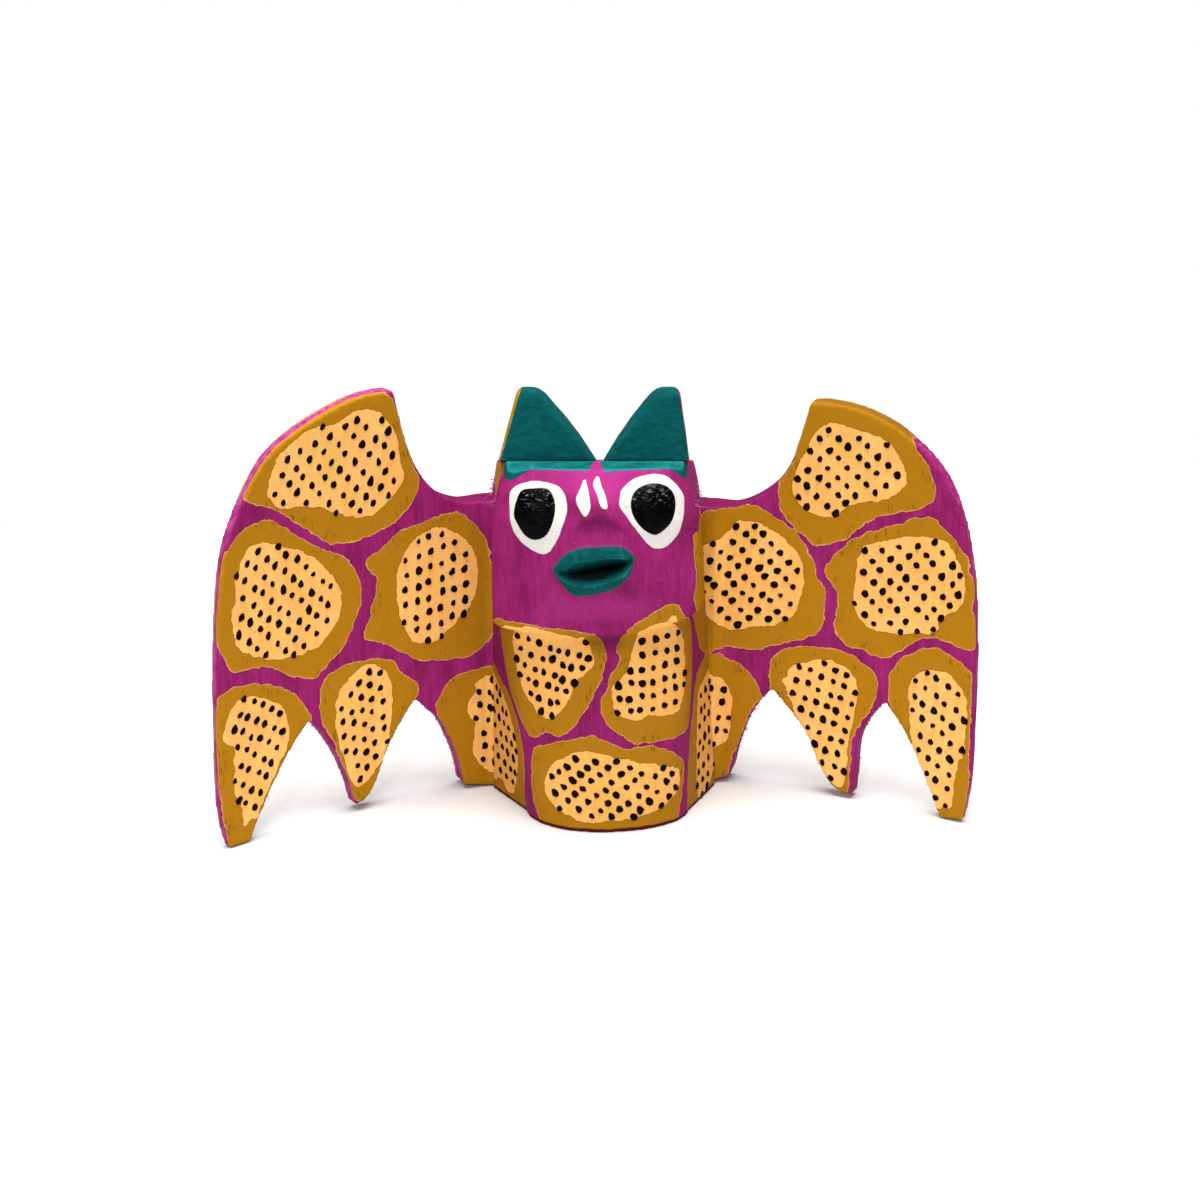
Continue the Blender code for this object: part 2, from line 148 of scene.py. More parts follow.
# %% [markdown]
# ## Carved skin
# Each plain solid is flat and sharp. A whittled piece is never that: every arris is a little round and
# every plane has shallow dips where the blade went through. A voxel remesh gives even, fine faces, a few
# smoothing passes soften the arrises, and then a slow noise moves each point along its normal by a tenth
# of a millimetre.

# %% Carved skin
VOXEL_MM, EAR_VOXEL_MM = 0.32, 0.25
WELD_MM = 0.001
DIP_MM = 0.09
DIP_SPACING_MM = 5.0


def points_of(mesh):
    co = np.empty(len(mesh.vertices) * 3)
    mesh.vertices.foreach_get("co", co)
    return co.reshape(-1, 3) / MM


def set_points(mesh, points_mm):
    mesh.vertices.foreach_set("co", (points_mm * MM).ravel())
    mesh.update()


def normals_of(mesh):
    n = np.empty(len(mesh.vertices) * 3, np.float32)
    mesh.vertex_normals.foreach_get("vector", n)
    return n.reshape(-1, 3).astype(float)


def keep(name, mesh):
    made = bpy.data.objects.new(name, mesh)
    bpy.context.scene.collection.objects.link(made)
    return made


def applied(thing, name):
    """The object with its modifiers applied, as a new plain one, in place of the old one."""
    mesh = bpy.data.meshes.new_from_object(thing.evaluated_get(bpy.context.evaluated_depsgraph_get()))
    bpy.data.objects.remove(thing)
    mesh.name = name
    return keep(name, mesh)


def carved(node, close_up, voxel_mm=VOXEL_MM):
    """A node's shape with a whittled skin. close_up moves its points first, to close a glue line."""
    bm = bmesh.new()
    bm.from_mesh(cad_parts[node].data)
    bmesh.ops.remove_doubles(bm, verts=bm.verts, dist=WELD_MM * MM)
    mesh = bpy.data.meshes.new(node)
    bm.to_mesh(mesh)
    bm.free()
    set_points(mesh, close_up(points_of(mesh)))
    rough = keep(node + "_rough", mesh)
    remesh = rough.modifiers.new("even faces", "REMESH")
    remesh.mode = "VOXEL"
    remesh.voxel_size = voxel_mm * MM
    remesh.use_smooth_shade = True
    soften = rough.modifiers.new("soft arrises", "SMOOTH")
    soften.factor = 0.5
    soften.iterations = 3
    made = applied(rough, node + "_carved")
    points, normals = points_of(made.data), normals_of(made.data)
    dips = np.array([noise.noise(Vector(p / DIP_SPACING_MM)) for p in points])
    set_points(made.data, points - normals * (np.abs(dips) * DIP_MM)[:, None])
    made.data.materials.clear()
    print(f"{made.name}: {len(made.data.polygons)} faces")
    return made


# %% [markdown]
# ## Where the pieces meet
# The plain solids keep a hair's gap for glue. On the real bat, glue and paint have filled it, so each
# wing's root and each ear's foot is moved in by that gap before its skin is made.

# %% Where the pieces meet
GLUE_LINE_MM = 0.36
SIDE_MM = {"left": (16.7, 16.3, 15.0), "right": (18.15, 15.1, 13.3)}  # half-widths at base, shoulder and top
SIDE_HEIGHTS_MM = (0, 48, 55.7)
SEAT_SLOPE = math.tan(math.radians(14))  # of the head's top, falling to the back
HEAD_TOP_MM = 55.7
WING_ROOT_MM, EAR_FOOT_MM = 0.55, 0.5  # what is this close to its seat is moved
EAR_FRONT_MM = -4.5
OUTWARD = {"left": -1, "right": 1}


def close_wing(hand):
    def move(points):
        side = np.interp(points[:, 2], SIDE_HEIGHTS_MM, SIDE_MM[hand])
        at_root = np.abs(points[:, 0]) - side < WING_ROOT_MM
        points[at_root, 0] -= OUTWARD[hand] * GLUE_LINE_MM
        return points

    return move


def close_ear(points):
    seat = HEAD_TOP_MM - (points[:, 1] - EAR_FRONT_MM) * SEAT_SLOPE
    points[points[:, 2] - seat < EAR_FOOT_MM, 2] -= GLUE_LINE_MM
    return points


body = carved("head_and_body", lambda points: points)
wings = {hand: carved(hand + "_wing", close_wing(hand)) for hand in OUTWARD}
ears = {hand: carved(hand + "_ear", close_ear, EAR_VOXEL_MM) for hand in OUTWARD}
carved_pieces = (body, *wings.values(), *ears.values())

# %% [markdown]
# ## Painted outlines
# A patch of paint is a closed brush outline, drawn here with one or two dozen points that a smooth curve
# joins. For each point of the skin the code measures how far it is from that curve, with a minus sign
# inside. The distance is stored on the mesh and the material turns it into an edge: a noise added to it
# makes the edge waver like a brush.

# %% Painted outlines
FAR_MM = 9.0  # what is stored where no paint of a kind is near
NEAR_MM = 3  # how far round an outline distances are worked out


def brush_curve(points, steps=6):
    """A closed Catmull-Rom curve through the points."""
    p = np.array(points, float)
    a, b, c, d = np.roll(p, 1, 0), p, np.roll(p, -1, 0), np.roll(p, -2, 0)
    t = (np.arange(steps) / steps)[None, :, None]
    a, b, c, d = a[:, None], b[:, None], c[:, None], d[:, None]
    curve = 0.5 * (2 * b + (c - a) * t + (2 * a - 5 * b + 4 * c - d) * t**2 + (3 * b - a - 3 * c + d) * t**3)
    return curve.reshape(-1, 2)


def depth_in(outline, across, up):
    """Distance of each point from an outline: negative inside it, and FAR_MM well outside."""
    curve = brush_curve(outline)
    found = np.full(len(across), FAR_MM)
    low, high = curve.min(0) - NEAR_MM, curve.max(0) + NEAR_MM
    near = (across > low[0]) & (across < high[0]) & (up > low[1]) & (up < high[1])
    x, y = across[near][:, None], up[near][:, None]
    (ax, ay), (bx, by) = curve.T, np.roll(curve, -1, 0).T
    ex, ey = bx - ax, by - ay
    share = np.clip(((x - ax) * ex + (y - ay) * ey) / np.maximum(ex**2 + ey**2, 1e-12), 0, 1)
    distance = np.sqrt(((ax + share * ex - x) ** 2 + (ay + share * ey - y) ** 2).min(1))
    crosses = ((ay > y) != (by > y)) & (x < ex * (y - ay) / np.where(ey == 0, 1e-12, ey) + ax)
    inside = crosses.sum(1) % 2 == 1
    found[near] = np.where(inside, -distance, distance)
    return found


def ease(share):
    share = np.clip(share, 0, 1)
    return share * share * (3 - 2 * share)


def rise(value, start, width):
    """0 up to start and 1 from start + width on, eased in between."""
    return ease((value - start) / width)


def fall(value, end, width):
    """1 down to end - width and 0 from end on, eased in between."""
    return ease((end - value) / width)


def nearest_of(outlines, across, up):
    found = np.full(len(across), FAR_MM)
    for outline in outlines:
        found = np.minimum(found, depth_in(outline, across, up))
    return found


def store(thing, name, values):
    layer = thing.data.attributes.new(name, "FLOAT", "POINT")
    layer.data.foreach_set("value", np.asarray(values, np.float32))


# %% [markdown]
# ## The patches
# The wings are painted flat on the bench, as it were: a wing outline gives the distance along the wing
# from its root, and the height. On the body the first number is the way round it, as on a drum of 15 mm
# radius, and on the face it is simply the distance to the right. Each patch has an ochre field and a
# smaller cream heart.

# %% The patches
WING_OCHRE = {
    "left": {
        "top": [(18.4, 65.3), (16.6, 64.9), (15.2, 63.5), (14.4, 61.6), (12.4, 54.2), (11.4, 51.8),
                (11.5, 49.6), (12.6, 47.4), (14.1, 45.8), (16.6, 44.4), (21.7, 43.0), (25.5, 43.2),
                (27.3, 44.1), (34.7, 49.7), (39.9, 52.2), (39.2, 54.2), (37.9, 55.9), (33.6, 59.8),
                (24.6, 64.5), (22.1, 65.1)],
        "outer": [(37.0, 48.7), (34.8, 48.1), (28.9, 43.6), (24.9, 41.6), (22.7, 39.8), (21.7, 37.8),
                  (21.3, 33.8), (24.1, 27.6), (28.2, 23.9), (29.9, 23.1), (34.0, 24.5), (37.4, 26.6),
                  (42.6, 27.0), (44.3, 28.8), (45.5, 31.3), (45.8, 35.0), (44.2, 43.6), (43.3, 45.3),
                  (41.6, 47.0), (39.6, 48.3)],
        "inner": [(6.3, 45.3), (4.5, 44.9), (1.4, 41.8), (0.5, 39.3), (-0.3, 33.7), (-0.4, 28.6),
                  (-0.1, 26.0), (0.6, 24.4), (2.0, 22.9), (4.4, 21.9), (8.1, 22.1), (10.4, 22.3),
                  (12.1, 22.5), (13.8, 23.8), (17.8, 26.3), (19.8, 27.1), (21.0, 28.1), (19.6, 32.3),
                  (18.6, 36.3), (20.0, 38.1), (20.2, 39.4), (19.6, 40.4), (17.3, 41.4), (15.7, 42.8),
                  (13.5, 43.7)],
        "outer tooth": [(38.9, 24.4), (33.8, 22.1), (31.8, 19.9), (30.4, 17.1), (30.9, 15.8), (36.9, 8.4),
                        (38.5, 5.9), (40.7, 1.9), (40.7, -0.6), (43.5, -0.8), (45.4, 0.2), (46.4, 7.3),
                        (46.7, 10.9), (46.7, 20.4), (46.3, 22.8), (45.6, 24.1), (43.5, 24.7)],
        "inner tooth": [(18.6, 24.1), (16.5, 23.3), (15.2, 21.6), (12.4, 18.9), (12.1, 17.9),
                        (13.0, 16.0), (14.4, 14.6), (15.8, 12.2), (19.9, 3.2), (21.4, 1.3), (23.1, 1.9),
                        (23.9, 3.2), (26.1, 10.7), (28.2, 15.1), (28.8, 17.2), (28.9, 19.5), (28.6, 21.4),
                        (27.5, 22.8), (25.4, 23.8), (23.0, 24.3)],
        "root": [(0.2, 19.9), (5.8, 19.1), (7.9, 17.5), (9.1, 15.7), (9.3, 13.7), (6.4, 5.1), (5.6, 1.8),
                 (4.3, -0.5), (-2.0, -1.0), (-2.0, 18.0)],
    },
    "right": {
        "top": [(14.2, 62.7), (16.9, 63.1), (21.6, 62.7), (24.0, 61.8), (27.7, 58.6), (29.5, 57.9),
                (32.1, 54.7), (33.1, 52.8), (33.5, 51.1), (33.2, 49.4), (31.5, 48.1), (25.5, 46.1),
                (23.1, 44.9), (19.7, 41.8), (17.3, 40.8), (14.9, 40.3), (13.1, 41.5), (9.7, 44.8),
                (9.1, 46.5), (8.9, 48.6), (9.3, 50.1), (11.5, 54.4), (13.0, 61.3), (13.5, 62.4)],
        "inner": [(3.2, 45.8), (5.2, 45.8), (7.3, 45.0), (11.3, 42.5), (12.8, 40.9), (15.0, 37.2),
                  (15.3, 35.4), (16.3, 34.6), (16.9, 32.6), (16.5, 27.8), (15.3, 26.2), (12.9, 24.9),
                  (8.4, 23.3), (6.0, 22.6), (1.2, 22.7), (-2.5, 22.0), (-3.0, 33.3), (-2.5, 43.6),
                  (0.5, 44.9)],
        "outer": [(31.2, 46.7), (33.4, 46.8), (35.2, 45.6), (39.1, 41.7), (39.6, 39.6), (40.4, 38.3),
                  (40.8, 36.3), (40.4, 34.7), (41.1, 31.3), (41.1, 29.0), (39.9, 27.6), (34.5, 28.5),
                  (30.9, 27.0), (27.9, 24.6), (26.4, 24.1), (24.5, 24.1), (23.0, 24.8), (20.8, 24.9),
                  (18.6, 26.9), (18.3, 29.0), (18.8, 32.5), (17.0, 35.6), (16.9, 37.4), (19.4, 40.7),
                  (21.4, 42.3), (23.8, 43.6), (28.3, 45.4), (29.4, 46.3)],
        "inner tooth": [(13.6, 24.1), (20.3, 24.0), (23.7, 22.1), (25.6, 20.3), (24.9, 15.8),
                        (22.0, 10.3), (21.5, 1.0), (20.1, 0.0), (18.2, 0.6), (16.3, 3.0), (11.6, 12.6),
                        (8.8, 15.7), (8.3, 17.5), (8.3, 19.4), (8.6, 21.3), (10.0, 22.9)],
        "outer tooth": [(34.2, 27.0), (38.1, 25.9), (40.1, 24.8), (40.8, 23.2), (40.9, 15.0), (41.1, 8.8),
                        (41.0, 2.5), (40.3, -0.3), (38.2, -0.7), (36.2, -0.5), (34.8, 1.6), (30.6, 11.0),
                        (28.3, 14.3), (27.4, 18.7), (27.4, 21.2), (28.0, 22.8), (29.5, 24.6), (31.6, 26.0)],
        "root": [(-2.0, 20.4), (2.1, 20.5), (4.3, 19.5), (5.8, 17.9), (6.8, 16.1), (7.1, 14.6),
                 (5.6, 12.5), (2.7, 4.2), (1.4, 1.0), (-2.0, 0.0)],
    },
}  # fmt: skip
WING_CREAM = {
    "left": {
        "top": [(19.7, 62.6), (18.2, 62.2), (16.7, 61.2), (15.2, 59.4), (14.5, 57.3), (14.6, 55.6),
                (14.0, 53.5), (13.8, 51.7), (14.6, 50.0), (18.1, 47.0), (20.6, 46.6), (23.4, 47.2),
                (28.4, 49.3), (33.4, 49.9), (35.1, 50.8), (35.8, 52.2), (35.8, 53.6), (34.5, 57.0),
                (33.0, 58.5), (28.8, 60.8), (24.4, 61.1), (21.6, 62.5)],
        "outer": [(36.7, 45.3), (32.4, 43.8), (28.1, 41.0), (24.8, 36.3), (24.5, 34.7), (25.1, 31.6),
                  (28.0, 28.4), (30.1, 27.5), (32.5, 27.2), (36.7, 27.5), (38.7, 28.3), (42.1, 30.5),
                  (42.7, 32.2), (43.0, 35.6), (42.1, 37.9), (42.3, 40.0), (41.9, 41.6), (39.9, 44.7),
                  (38.4, 45.4)],
        "inner": [(8.5, 43.2), (6.7, 42.7), (5.1, 41.8), (3.6, 40.3), (2.4, 38.0), (2.1, 35.6),
                  (2.3, 33.1), (2.8, 31.4), (4.2, 29.2), (7.7, 26.2), (9.4, 25.3), (11.1, 25.1),
                  (13.1, 25.9), (14.0, 27.7), (15.3, 31.8), (15.1, 37.1), (14.3, 39.3), (12.6, 41.5),
                  (10.7, 42.7)],
        "outer tooth": [(39.7, 22.5), (35.6, 20.3), (34.5, 18.5), (34.2, 16.5), (34.5, 14.3),
                        (35.3, 12.3), (39.6, 5.2), (40.0, 3.7), (41.4, 3.8), (42.7, 3.0), (42.8, 5.8),
                        (43.7, 8.0), (44.1, 10.1), (43.8, 15.1), (45.2, 16.8), (45.4, 18.1), (44.0, 21.5),
                        (42.5, 22.6)],
        "inner tooth": [(20.8, 23.6), (17.9, 22.2), (17.0, 20.7), (16.6, 19.0), (16.8, 14.7), (18.2, 8.3),
                        (22.0, 4.3), (23.4, 4.6), (24.2, 6.0), (26.0, 13.0), (26.1, 17.3), (25.6, 19.5),
                        (24.8, 20.9)],
        "root": [(0.2, 18.3), (1.1, 18.4), (2.7, 17.4), (2.9, 16.2), (4.2, 13.2), (2.9, 10.4), (3.5, 6.9),
                 (2.9, 5.0), (1.0, 2.8), (-2.0, 2.6), (-2.0, 17.6)],
    },
    "right": {
        "top": [(17.0, 59.3), (21.4, 58.7), (25.4, 57.6), (26.9, 56.3), (28.2, 54.5), (28.7, 52.5),
                (28.6, 51.0), (26.9, 49.3), (24.5, 48.3), (20.7, 47.4), (18.9, 45.9), (17.2, 45.0),
                (15.4, 44.9), (13.6, 45.6), (12.0, 46.8), (11.3, 48.5), (11.3, 50.6), (13.8, 56.4),
                (15.2, 58.4)],
        "inner": [(3.8, 43.1), (7.4, 42.5), (11.6, 39.5), (13.2, 36.4), (13.2, 32.1), (11.6, 28.5),
                  (9.8, 27.4), (7.8, 26.5), (5.6, 26.5), (1.8, 25.5), (-1.3, 28.2), (-2.5, 29.5),
                  (-2.5, 38.3), (0.3, 40.0), (2.9, 42.9)],
        "outer": [(28.9, 43.5), (33.2, 43.8), (35.7, 43.5), (38.0, 40.5), (38.7, 38.6), (38.6, 34.7),
                  (35.0, 31.3), (34.8, 30.1), (33.6, 29.0), (31.7, 28.9), (28.4, 28.1), (24.4, 28.3),
                  (23.1, 29.1), (21.4, 31.5), (21.6, 38.0), (22.1, 40.1), (23.3, 41.6), (27.2, 42.6)],
        "inner tooth": [(16.3, 22.3), (18.5, 22.2), (20.4, 21.3), (22.4, 18.5), (21.4, 10.0), (20.7, 2.5),
                        (19.1, 2.2), (17.3, 3.8), (15.8, 6.0), (10.9, 16.7), (11.1, 18.8), (11.8, 20.4),
                        (13.6, 21.4)],
        "outer tooth": [(34.8, 23.4), (36.7, 23.4), (38.3, 22.3), (39.6, 20.8), (40.2, 18.8),
                        (40.2, 13.4), (39.9, 10.8), (39.1, 9.1), (38.5, 2.4), (37.4, 2.0), (35.7, 2.0),
                        (32.0, 9.4), (31.3, 12.0), (30.6, 19.3), (31.0, 20.9), (32.0, 22.5)],
        "root": [(-2.0, 17.4), (0.7, 17.7), (1.3, 16.8), (2.1, 15.3), (2.4, 13.5), (1.8, 7.2), (-2.0, 6.9)],
    },
}  # fmt: skip
BODY_OCHRE = {
    "left chest": [(-13.2, 33.0), (-7.6, 32.6), (-1.3, 31.5), (1.1, 28.6), (0.5, 24.7), (-0.7, 22.4),
                   (-1.8, 20.4), (-5.1, 16.1), (-7.4, 14.9), (-9.3, 15.1), (-11.9, 13.9), (-13.5, 14.7),
                   (-15.4, 17.6), (-17.3, 20.6), (-19.0, 25.6), (-17.6, 30.6), (-15.6, 32.4)],
    "right chest": [(10.5, 35.9), (11.5, 35.2), (12.6, 33.5), (16.0, 32.0), (17.8, 30.1), (18.6, 26.7),
                    (18.6, 19.8), (17.6, 16.6), (15.6, 13.9), (7.1, 13.9), (4.5, 14.8), (1.0, 17.3),
                    (0.1, 20.4), (0.5, 21.7), (1.4, 23.0), (1.6, 24.4), (3.5, 27.0), (2.9, 28.4),
                    (3.3, 30.0), (4.4, 31.4), (4.4, 32.4), (8.2, 35.1)],
    "belly": [(-2.3, 15.3), (0.1, 15.0), (4.5, 13.3), (7.1, 13.4), (9.8, 13.0), (14.0, 10.7), (15.4, 8.9),
              (15.5, 6.2), (14.2, 1.2), (12.8, -1.5), (-8.7, -1.5), (-11.3, 0.6), (-12.8, 3.2),
              (-13.1, 5.2), (-12.3, 11.5), (-10.2, 13.1)],
    "left flank": [(-28.0, 19.6), (-24.4, 19.9), (-19.6, 19.1), (-16.5, 17.4), (-15.3, 14.2),
                   (-14.6, 10.9), (-15.0, 7.2), (-17.0, 2.2), (-19.0, -1.0), (-29.0, -1.0)],
    "right flank": [(30.0, 20.6), (24.0, 21.4), (21.3, 20.3), (19.4, 16.0), (17.8, 11.4), (17.1, 6.7),
                    (17.1, 3.1), (18.4, -1.0), (30.0, -1.0)],
    "right cheek": [(30.0, 44.0), (20.0, 45.6), (13.9, 46.0), (13.2, 44.0), (13.5, 41.0), (13.8, 38.0),
                    (13.8, 35.6), (15.0, 33.6), (18.2, 32.2), (20.6, 29.6), (22.4, 27.0), (24.5, 24.4),
                    (27.0, 22.8), (30.0, 22.4)],
}  # fmt: skip
BODY_CREAM = {
    "left chest": [(-13.6, 32.0), (-11.7, 32.3), (-8.7, 32.4), (-4.5, 30.6), (-2.6, 30.4), (-1.1, 27.4),
                   (-1.3, 26.1), (-4.2, 23.6), (-5.5, 20.5), (-6.6, 19.2), (-9.3, 17.4), (-12.0, 19.3),
                   (-13.8, 22.0), (-14.8, 25.6), (-15.0, 27.6), (-14.7, 30.2)],
    "right chest": [(10.5, 34.0), (11.6, 32.6), (14.1, 30.8), (15.1, 28.8), (15.5, 23.3), (15.2, 20.6),
                    (14.4, 18.4), (13.0, 17.5), (10.5, 17.6), (8.3, 18.1), (6.0, 17.5), (2.7, 19.0),
                    (2.0, 22.0), (2.5, 23.4), (4.2, 24.5), (5.0, 25.9), (6.0, 29.6), (7.2, 32.4),
                    (9.8, 33.4)],
    "belly": [(-2.2, 12.9), (4.1, 11.6), (13.1, 9.0), (14.3, 7.3), (14.1, 5.2), (12.6, 4.1), (10.5, 3.0),
              (4.8, 1.9), (1.5, 2.0), (-1.8, 1.5), (-6.3, 2.7), (-9.4, 4.9), (-9.9, 7.4), (-8.6, 9.8),
              (-6.8, 11.3), (-4.8, 12.4)],
    "left flank": [(-28.0, 18.2), (-25.5, 18.6), (-22.6, 17.4), (-19.9, 15.5), (-18.3, 12.5),
                   (-18.2, 8.8), (-19.6, 5.0), (-21.6, 1.6), (-23.6, 1.4), (-25.2, 2.6), (-28.0, 3.0)],
    "right flank": [(30.0, 18.6), (24.4, 18.3), (22.5, 17.1), (21.7, 10.3), (21.6, 3.1), (22.5, 0.4),
                    (25.4, 0.8), (27.7, 2.6), (30.0, 6.5)],
}  # fmt: skip
FACE = {
    "left eye white": [(-12.9, 52.4), (-12.0, 53.6), (-9.7, 54.0), (-7.1, 53.8), (-5.3, 52.8),
                       (-4.7, 50.6), (-5.4, 48.1), (-6.7, 45.0), (-8.4, 43.8), (-11.3, 45.3),
                       (-12.7, 47.5), (-13.0, 50.0)],
    "left pupil": [(-12.4, 49.3), (-12.0, 51.3), (-11.2, 52.7), (-9.4, 53.1), (-7.6, 53.1), (-6.7, 52.1),
                   (-6.4, 50.4), (-6.8, 48.4), (-7.8, 46.5), (-9.4, 45.8), (-10.8, 46.4), (-11.9, 48.0)],
    "right eye white": [(2.8, 52.3), (3.4, 53.5), (5.3, 54.6), (8.2, 55.0), (10.5, 54.0), (11.9, 52.1),
                        (12.1, 49.5), (11.4, 46.8), (9.8, 44.9), (8.2, 44.6), (6.8, 45.5), (3.9, 49.5),
                        (2.9, 51.1)],
    "right pupil": [(4.4, 51.6), (5.3, 53.1), (7.5, 53.8), (9.6, 53.3), (10.7, 51.9), (10.8, 49.9),
                    (10.1, 48.1), (8.6, 46.8), (7.5, 46.7), (5.9, 47.9), (4.7, 49.7)],
    "left brow mark": [(-2.2, 54.6), (-2.9, 53.3), (-3.4, 52.0), (-3.0, 50.9), (-2.1, 50.0), (-1.4, 51.2),
                       (-1.5, 52.5), (-1.8, 53.7)],
    "right brow mark": [(-0.4, 55.0), (-1.0, 54.0), (-0.4, 52.7), (0.2, 51.4), (1.0, 51.1), (1.1, 51.6),
                        (0.8, 52.7), (0.2, 53.8), (-0.1, 54.7)],
    "lips": [(-6.7, 41.5), (-5.8, 43.4), (-4.4, 44.7), (-2.3, 45.6), (0.2, 45.8), (2.9, 45.7),
             (4.5, 44.5), (5.0, 43.7), (4.7, 42.4), (4.1, 41.0), (2.2, 39.3), (0.2, 38.6), (-2.6, 38.0),
             (-4.1, 38.3), (-5.4, 39.7)],
}  # fmt: skip
BACK_OCHRE = {
    "nape": [(-9.5, 47.5), (-3.0, 49.5), (4.0, 49.2), (9.3, 46.5), (10.6, 41.0), (8.0, 35.6), (2.0, 33.4),
             (-4.6, 34.0), (-9.6, 37.4), (-11.0, 42.6)],
    "left loin": [(-13.6, 30.4), (-7.0, 31.0), (-1.6, 28.8), (-1.0, 22.0), (-2.8, 15.0), (-7.4, 12.2),
                  (-12.6, 14.4), (-14.6, 22.0)],
    "right loin": [(13.8, 30.0), (7.6, 31.2), (1.8, 29.4), (0.9, 22.6), (2.4, 15.2), (7.6, 12.0),
                   (13.2, 14.0), (15.2, 21.6)],
    "rump": [(-9.6, 10.4), (-2.0, 11.6), (6.0, 11.0), (10.6, 7.0), (9.8, 1.0), (8.0, -1.0), (-8.4, -1.0),
             (-10.8, 3.0)],
}  # fmt: skip
print(sum(len(patches) for patches in (*WING_OCHRE.values(), BODY_OCHRE, BACK_OCHRE)), "patches in all")

# %% [markdown]
# ## Flattening a bowed wing
# Each wing board is a slice of a wide upright drum, so a point on it unrolls exactly: the angle round the
# drum's axis gives the distance along the wing, and the distance from the axis tells the front face from
# the back.

# %% Flattening a bowed wing
WING_SHAPE = {
    "left": {"root": (-16.7, 7.35), "heading": math.radians(22.7), "bow": math.radians(21.3), "reach": 46.5},
    "right": {"root": (18.15, 8.6), "heading": math.radians(12.8), "bow": math.radians(23.7), "reach": 41.3},
}
ROOT_THICKNESS_MM, TIP_THICKNESS_MM = 4.6, 1.6
ARRIS_MM = 0.3  # how far the paint of a face turns over its arris
FILLET_MM = 1.3  # paint and putty round off the corner between wing and body
BACK_FILLET_SHARE = 0.3  # of that, behind the wing
SEAM_MM = 0.45  # and close the seam
FILLET_TOP_MM, SEAM_TOP_MM = 46, 48  # up to these heights
OCHRE_TOP_MM = {"left": 0.0, "right": 31.0}  # how far along the top the ochre covers the edge
EDGE_RUB = {"left": 0.85, "right": 0.7}  # how much of the pink undercoat its thin edge shows

for hand, shape in WING_SHAPE.items():
    shape["radius"] = shape["reach"] / shape["bow"]
    shape["axis"] = (
        shape["root"][0] - OUTWARD[hand] * shape["radius"] * math.sin(shape["heading"]),
        shape["root"][1] - shape["radius"] * math.cos(shape["heading"]),
    )


def flattened(hand, points):
    """Distance along the wing, depth behind its front face, and height, for each point."""
    shape = WING_SHAPE[hand]
    out = (points[:, 0] - shape["axis"][0]) * OUTWARD[hand]
    back = points[:, 1] - shape["axis"][1]
    along = (np.arctan2(out, back) - shape["heading"]) * shape["radius"]
    return along, np.hypot(out, back) - shape["radius"], points[:, 2]


def across_faces(hand, points, normals):
    """1 where a point is on the wing's thin edge, 0 on its broad faces."""
    shape = WING_SHAPE[hand]
    out = np.stack([points[:, 0] - shape["axis"][0], points[:, 1] - shape["axis"][1]], 1)
    out /= np.linalg.norm(out, axis=1)[:, None]
    return 1 - np.abs((normals[:, :2] * out).sum(1))


hearts = {}  # for each piece and patch, the distance of every point of the piece from that cream heart
for hand, wing in wings.items():
    points = points_of(wing.data)
    along, depth, up = flattened(hand, points)
    thickness = np.interp(along, (0, WING_SHAPE[hand]["reach"]), (ROOT_THICKNESS_MM, TIP_THICKNESS_MM))
    on_edge = across_faces(hand, points, normals_of(wing.data))
    # The dip is the hollow top edge beside the body. Over the top is where the ochre runs across the edge.
    in_the_dip = np.clip((24 - along) / 6, 0, 1) * rise(up, 40, 2) * fall(up, 57, 3)
    over_the_top = rise(up, 56, 2) * rise(along, 13, 2) * fall(along, OCHRE_TOP_MM[hand], 3)
    turned_over = 1.6 * np.maximum(np.minimum(np.abs(depth), np.abs(thickness - depth)) - ARRIS_MM, 0)
    turned_over += 3 * in_the_dip * np.clip(on_edge * 1.6 - 0.3, 0, 1)
    over_the_top = over_the_top * (depth < thickness * 0.8)
    creams = WING_CREAM[hand].items()
    hearts[hand] = {patch: depth_in(outline, along, up) + turned_over for patch, outline in creams}
    store(wing, "cream", np.min(list(hearts[hand].values()), 0))
    to_ochre = nearest_of(WING_OCHRE[hand].values(), along, up)
    store(wing, "ochre", to_ochre + turned_over * (1 - over_the_top) - over_the_top)
    store(wing, "edge", on_edge * EDGE_RUB[hand] * (1 - 0.8 * in_the_dip))
    # Painted shade: the top edge, which faces up, is darkened in the dip and where the ochre runs over the
    # top.
    store(wing, "shade", on_edge * np.maximum(in_the_dip, over_the_top) * 1.5)
    share = np.clip(along / FILLET_MM, 0, 1)
    fillet = 0.85 * FILLET_MM * (1 - np.sqrt(1 - (1 - share) ** 2))
    filled = np.where(depth < thickness / 2, -fillet, BACK_FILLET_SHARE * fillet)
    points[:, 1] += filled * (up < FILLET_TOP_MM)
    points[:, 0] -= OUTWARD[hand] * SEAM_MM * (1 - share) ** 2 * (up < SEAM_TOP_MM)
    set_points(wing.data, points)
    print(hand, "wing:", round(along.max(), 1), "mm along,", round(up.max(), 1), "mm high")

# %% [markdown]
# ## Measuring the body
# The front of the body unrolls like a drum. The back is nearly flat, so there the distance to the right
# and the height are enough. The face's patches are kept off everything that doesn't look forward.

# %% Measuring the body
DRUM_MM = 15.0
DRUM_AXIS_Y_MM = 2.0

points, normals = points_of(body.data), normals_of(body.data)
x, y, z = points.T
round_body = DRUM_MM * np.arctan2(x, DRUM_AXIS_Y_MM - y)
faces_back = normals[:, 1] > 0.5
faces_front = (normals[:, 1] < -0.2) & (y < -3)


def on_body(front_patches, back_patches):
    front = nearest_of(front_patches.values(), round_body, z)
    back = nearest_of(back_patches, x, z)
    return np.where(faces_back, back, front)


def shrunk(outline, by):
    centre = np.mean(outline, 0)
    return [tuple(centre + (np.array(p) - centre) * by) for p in outline]


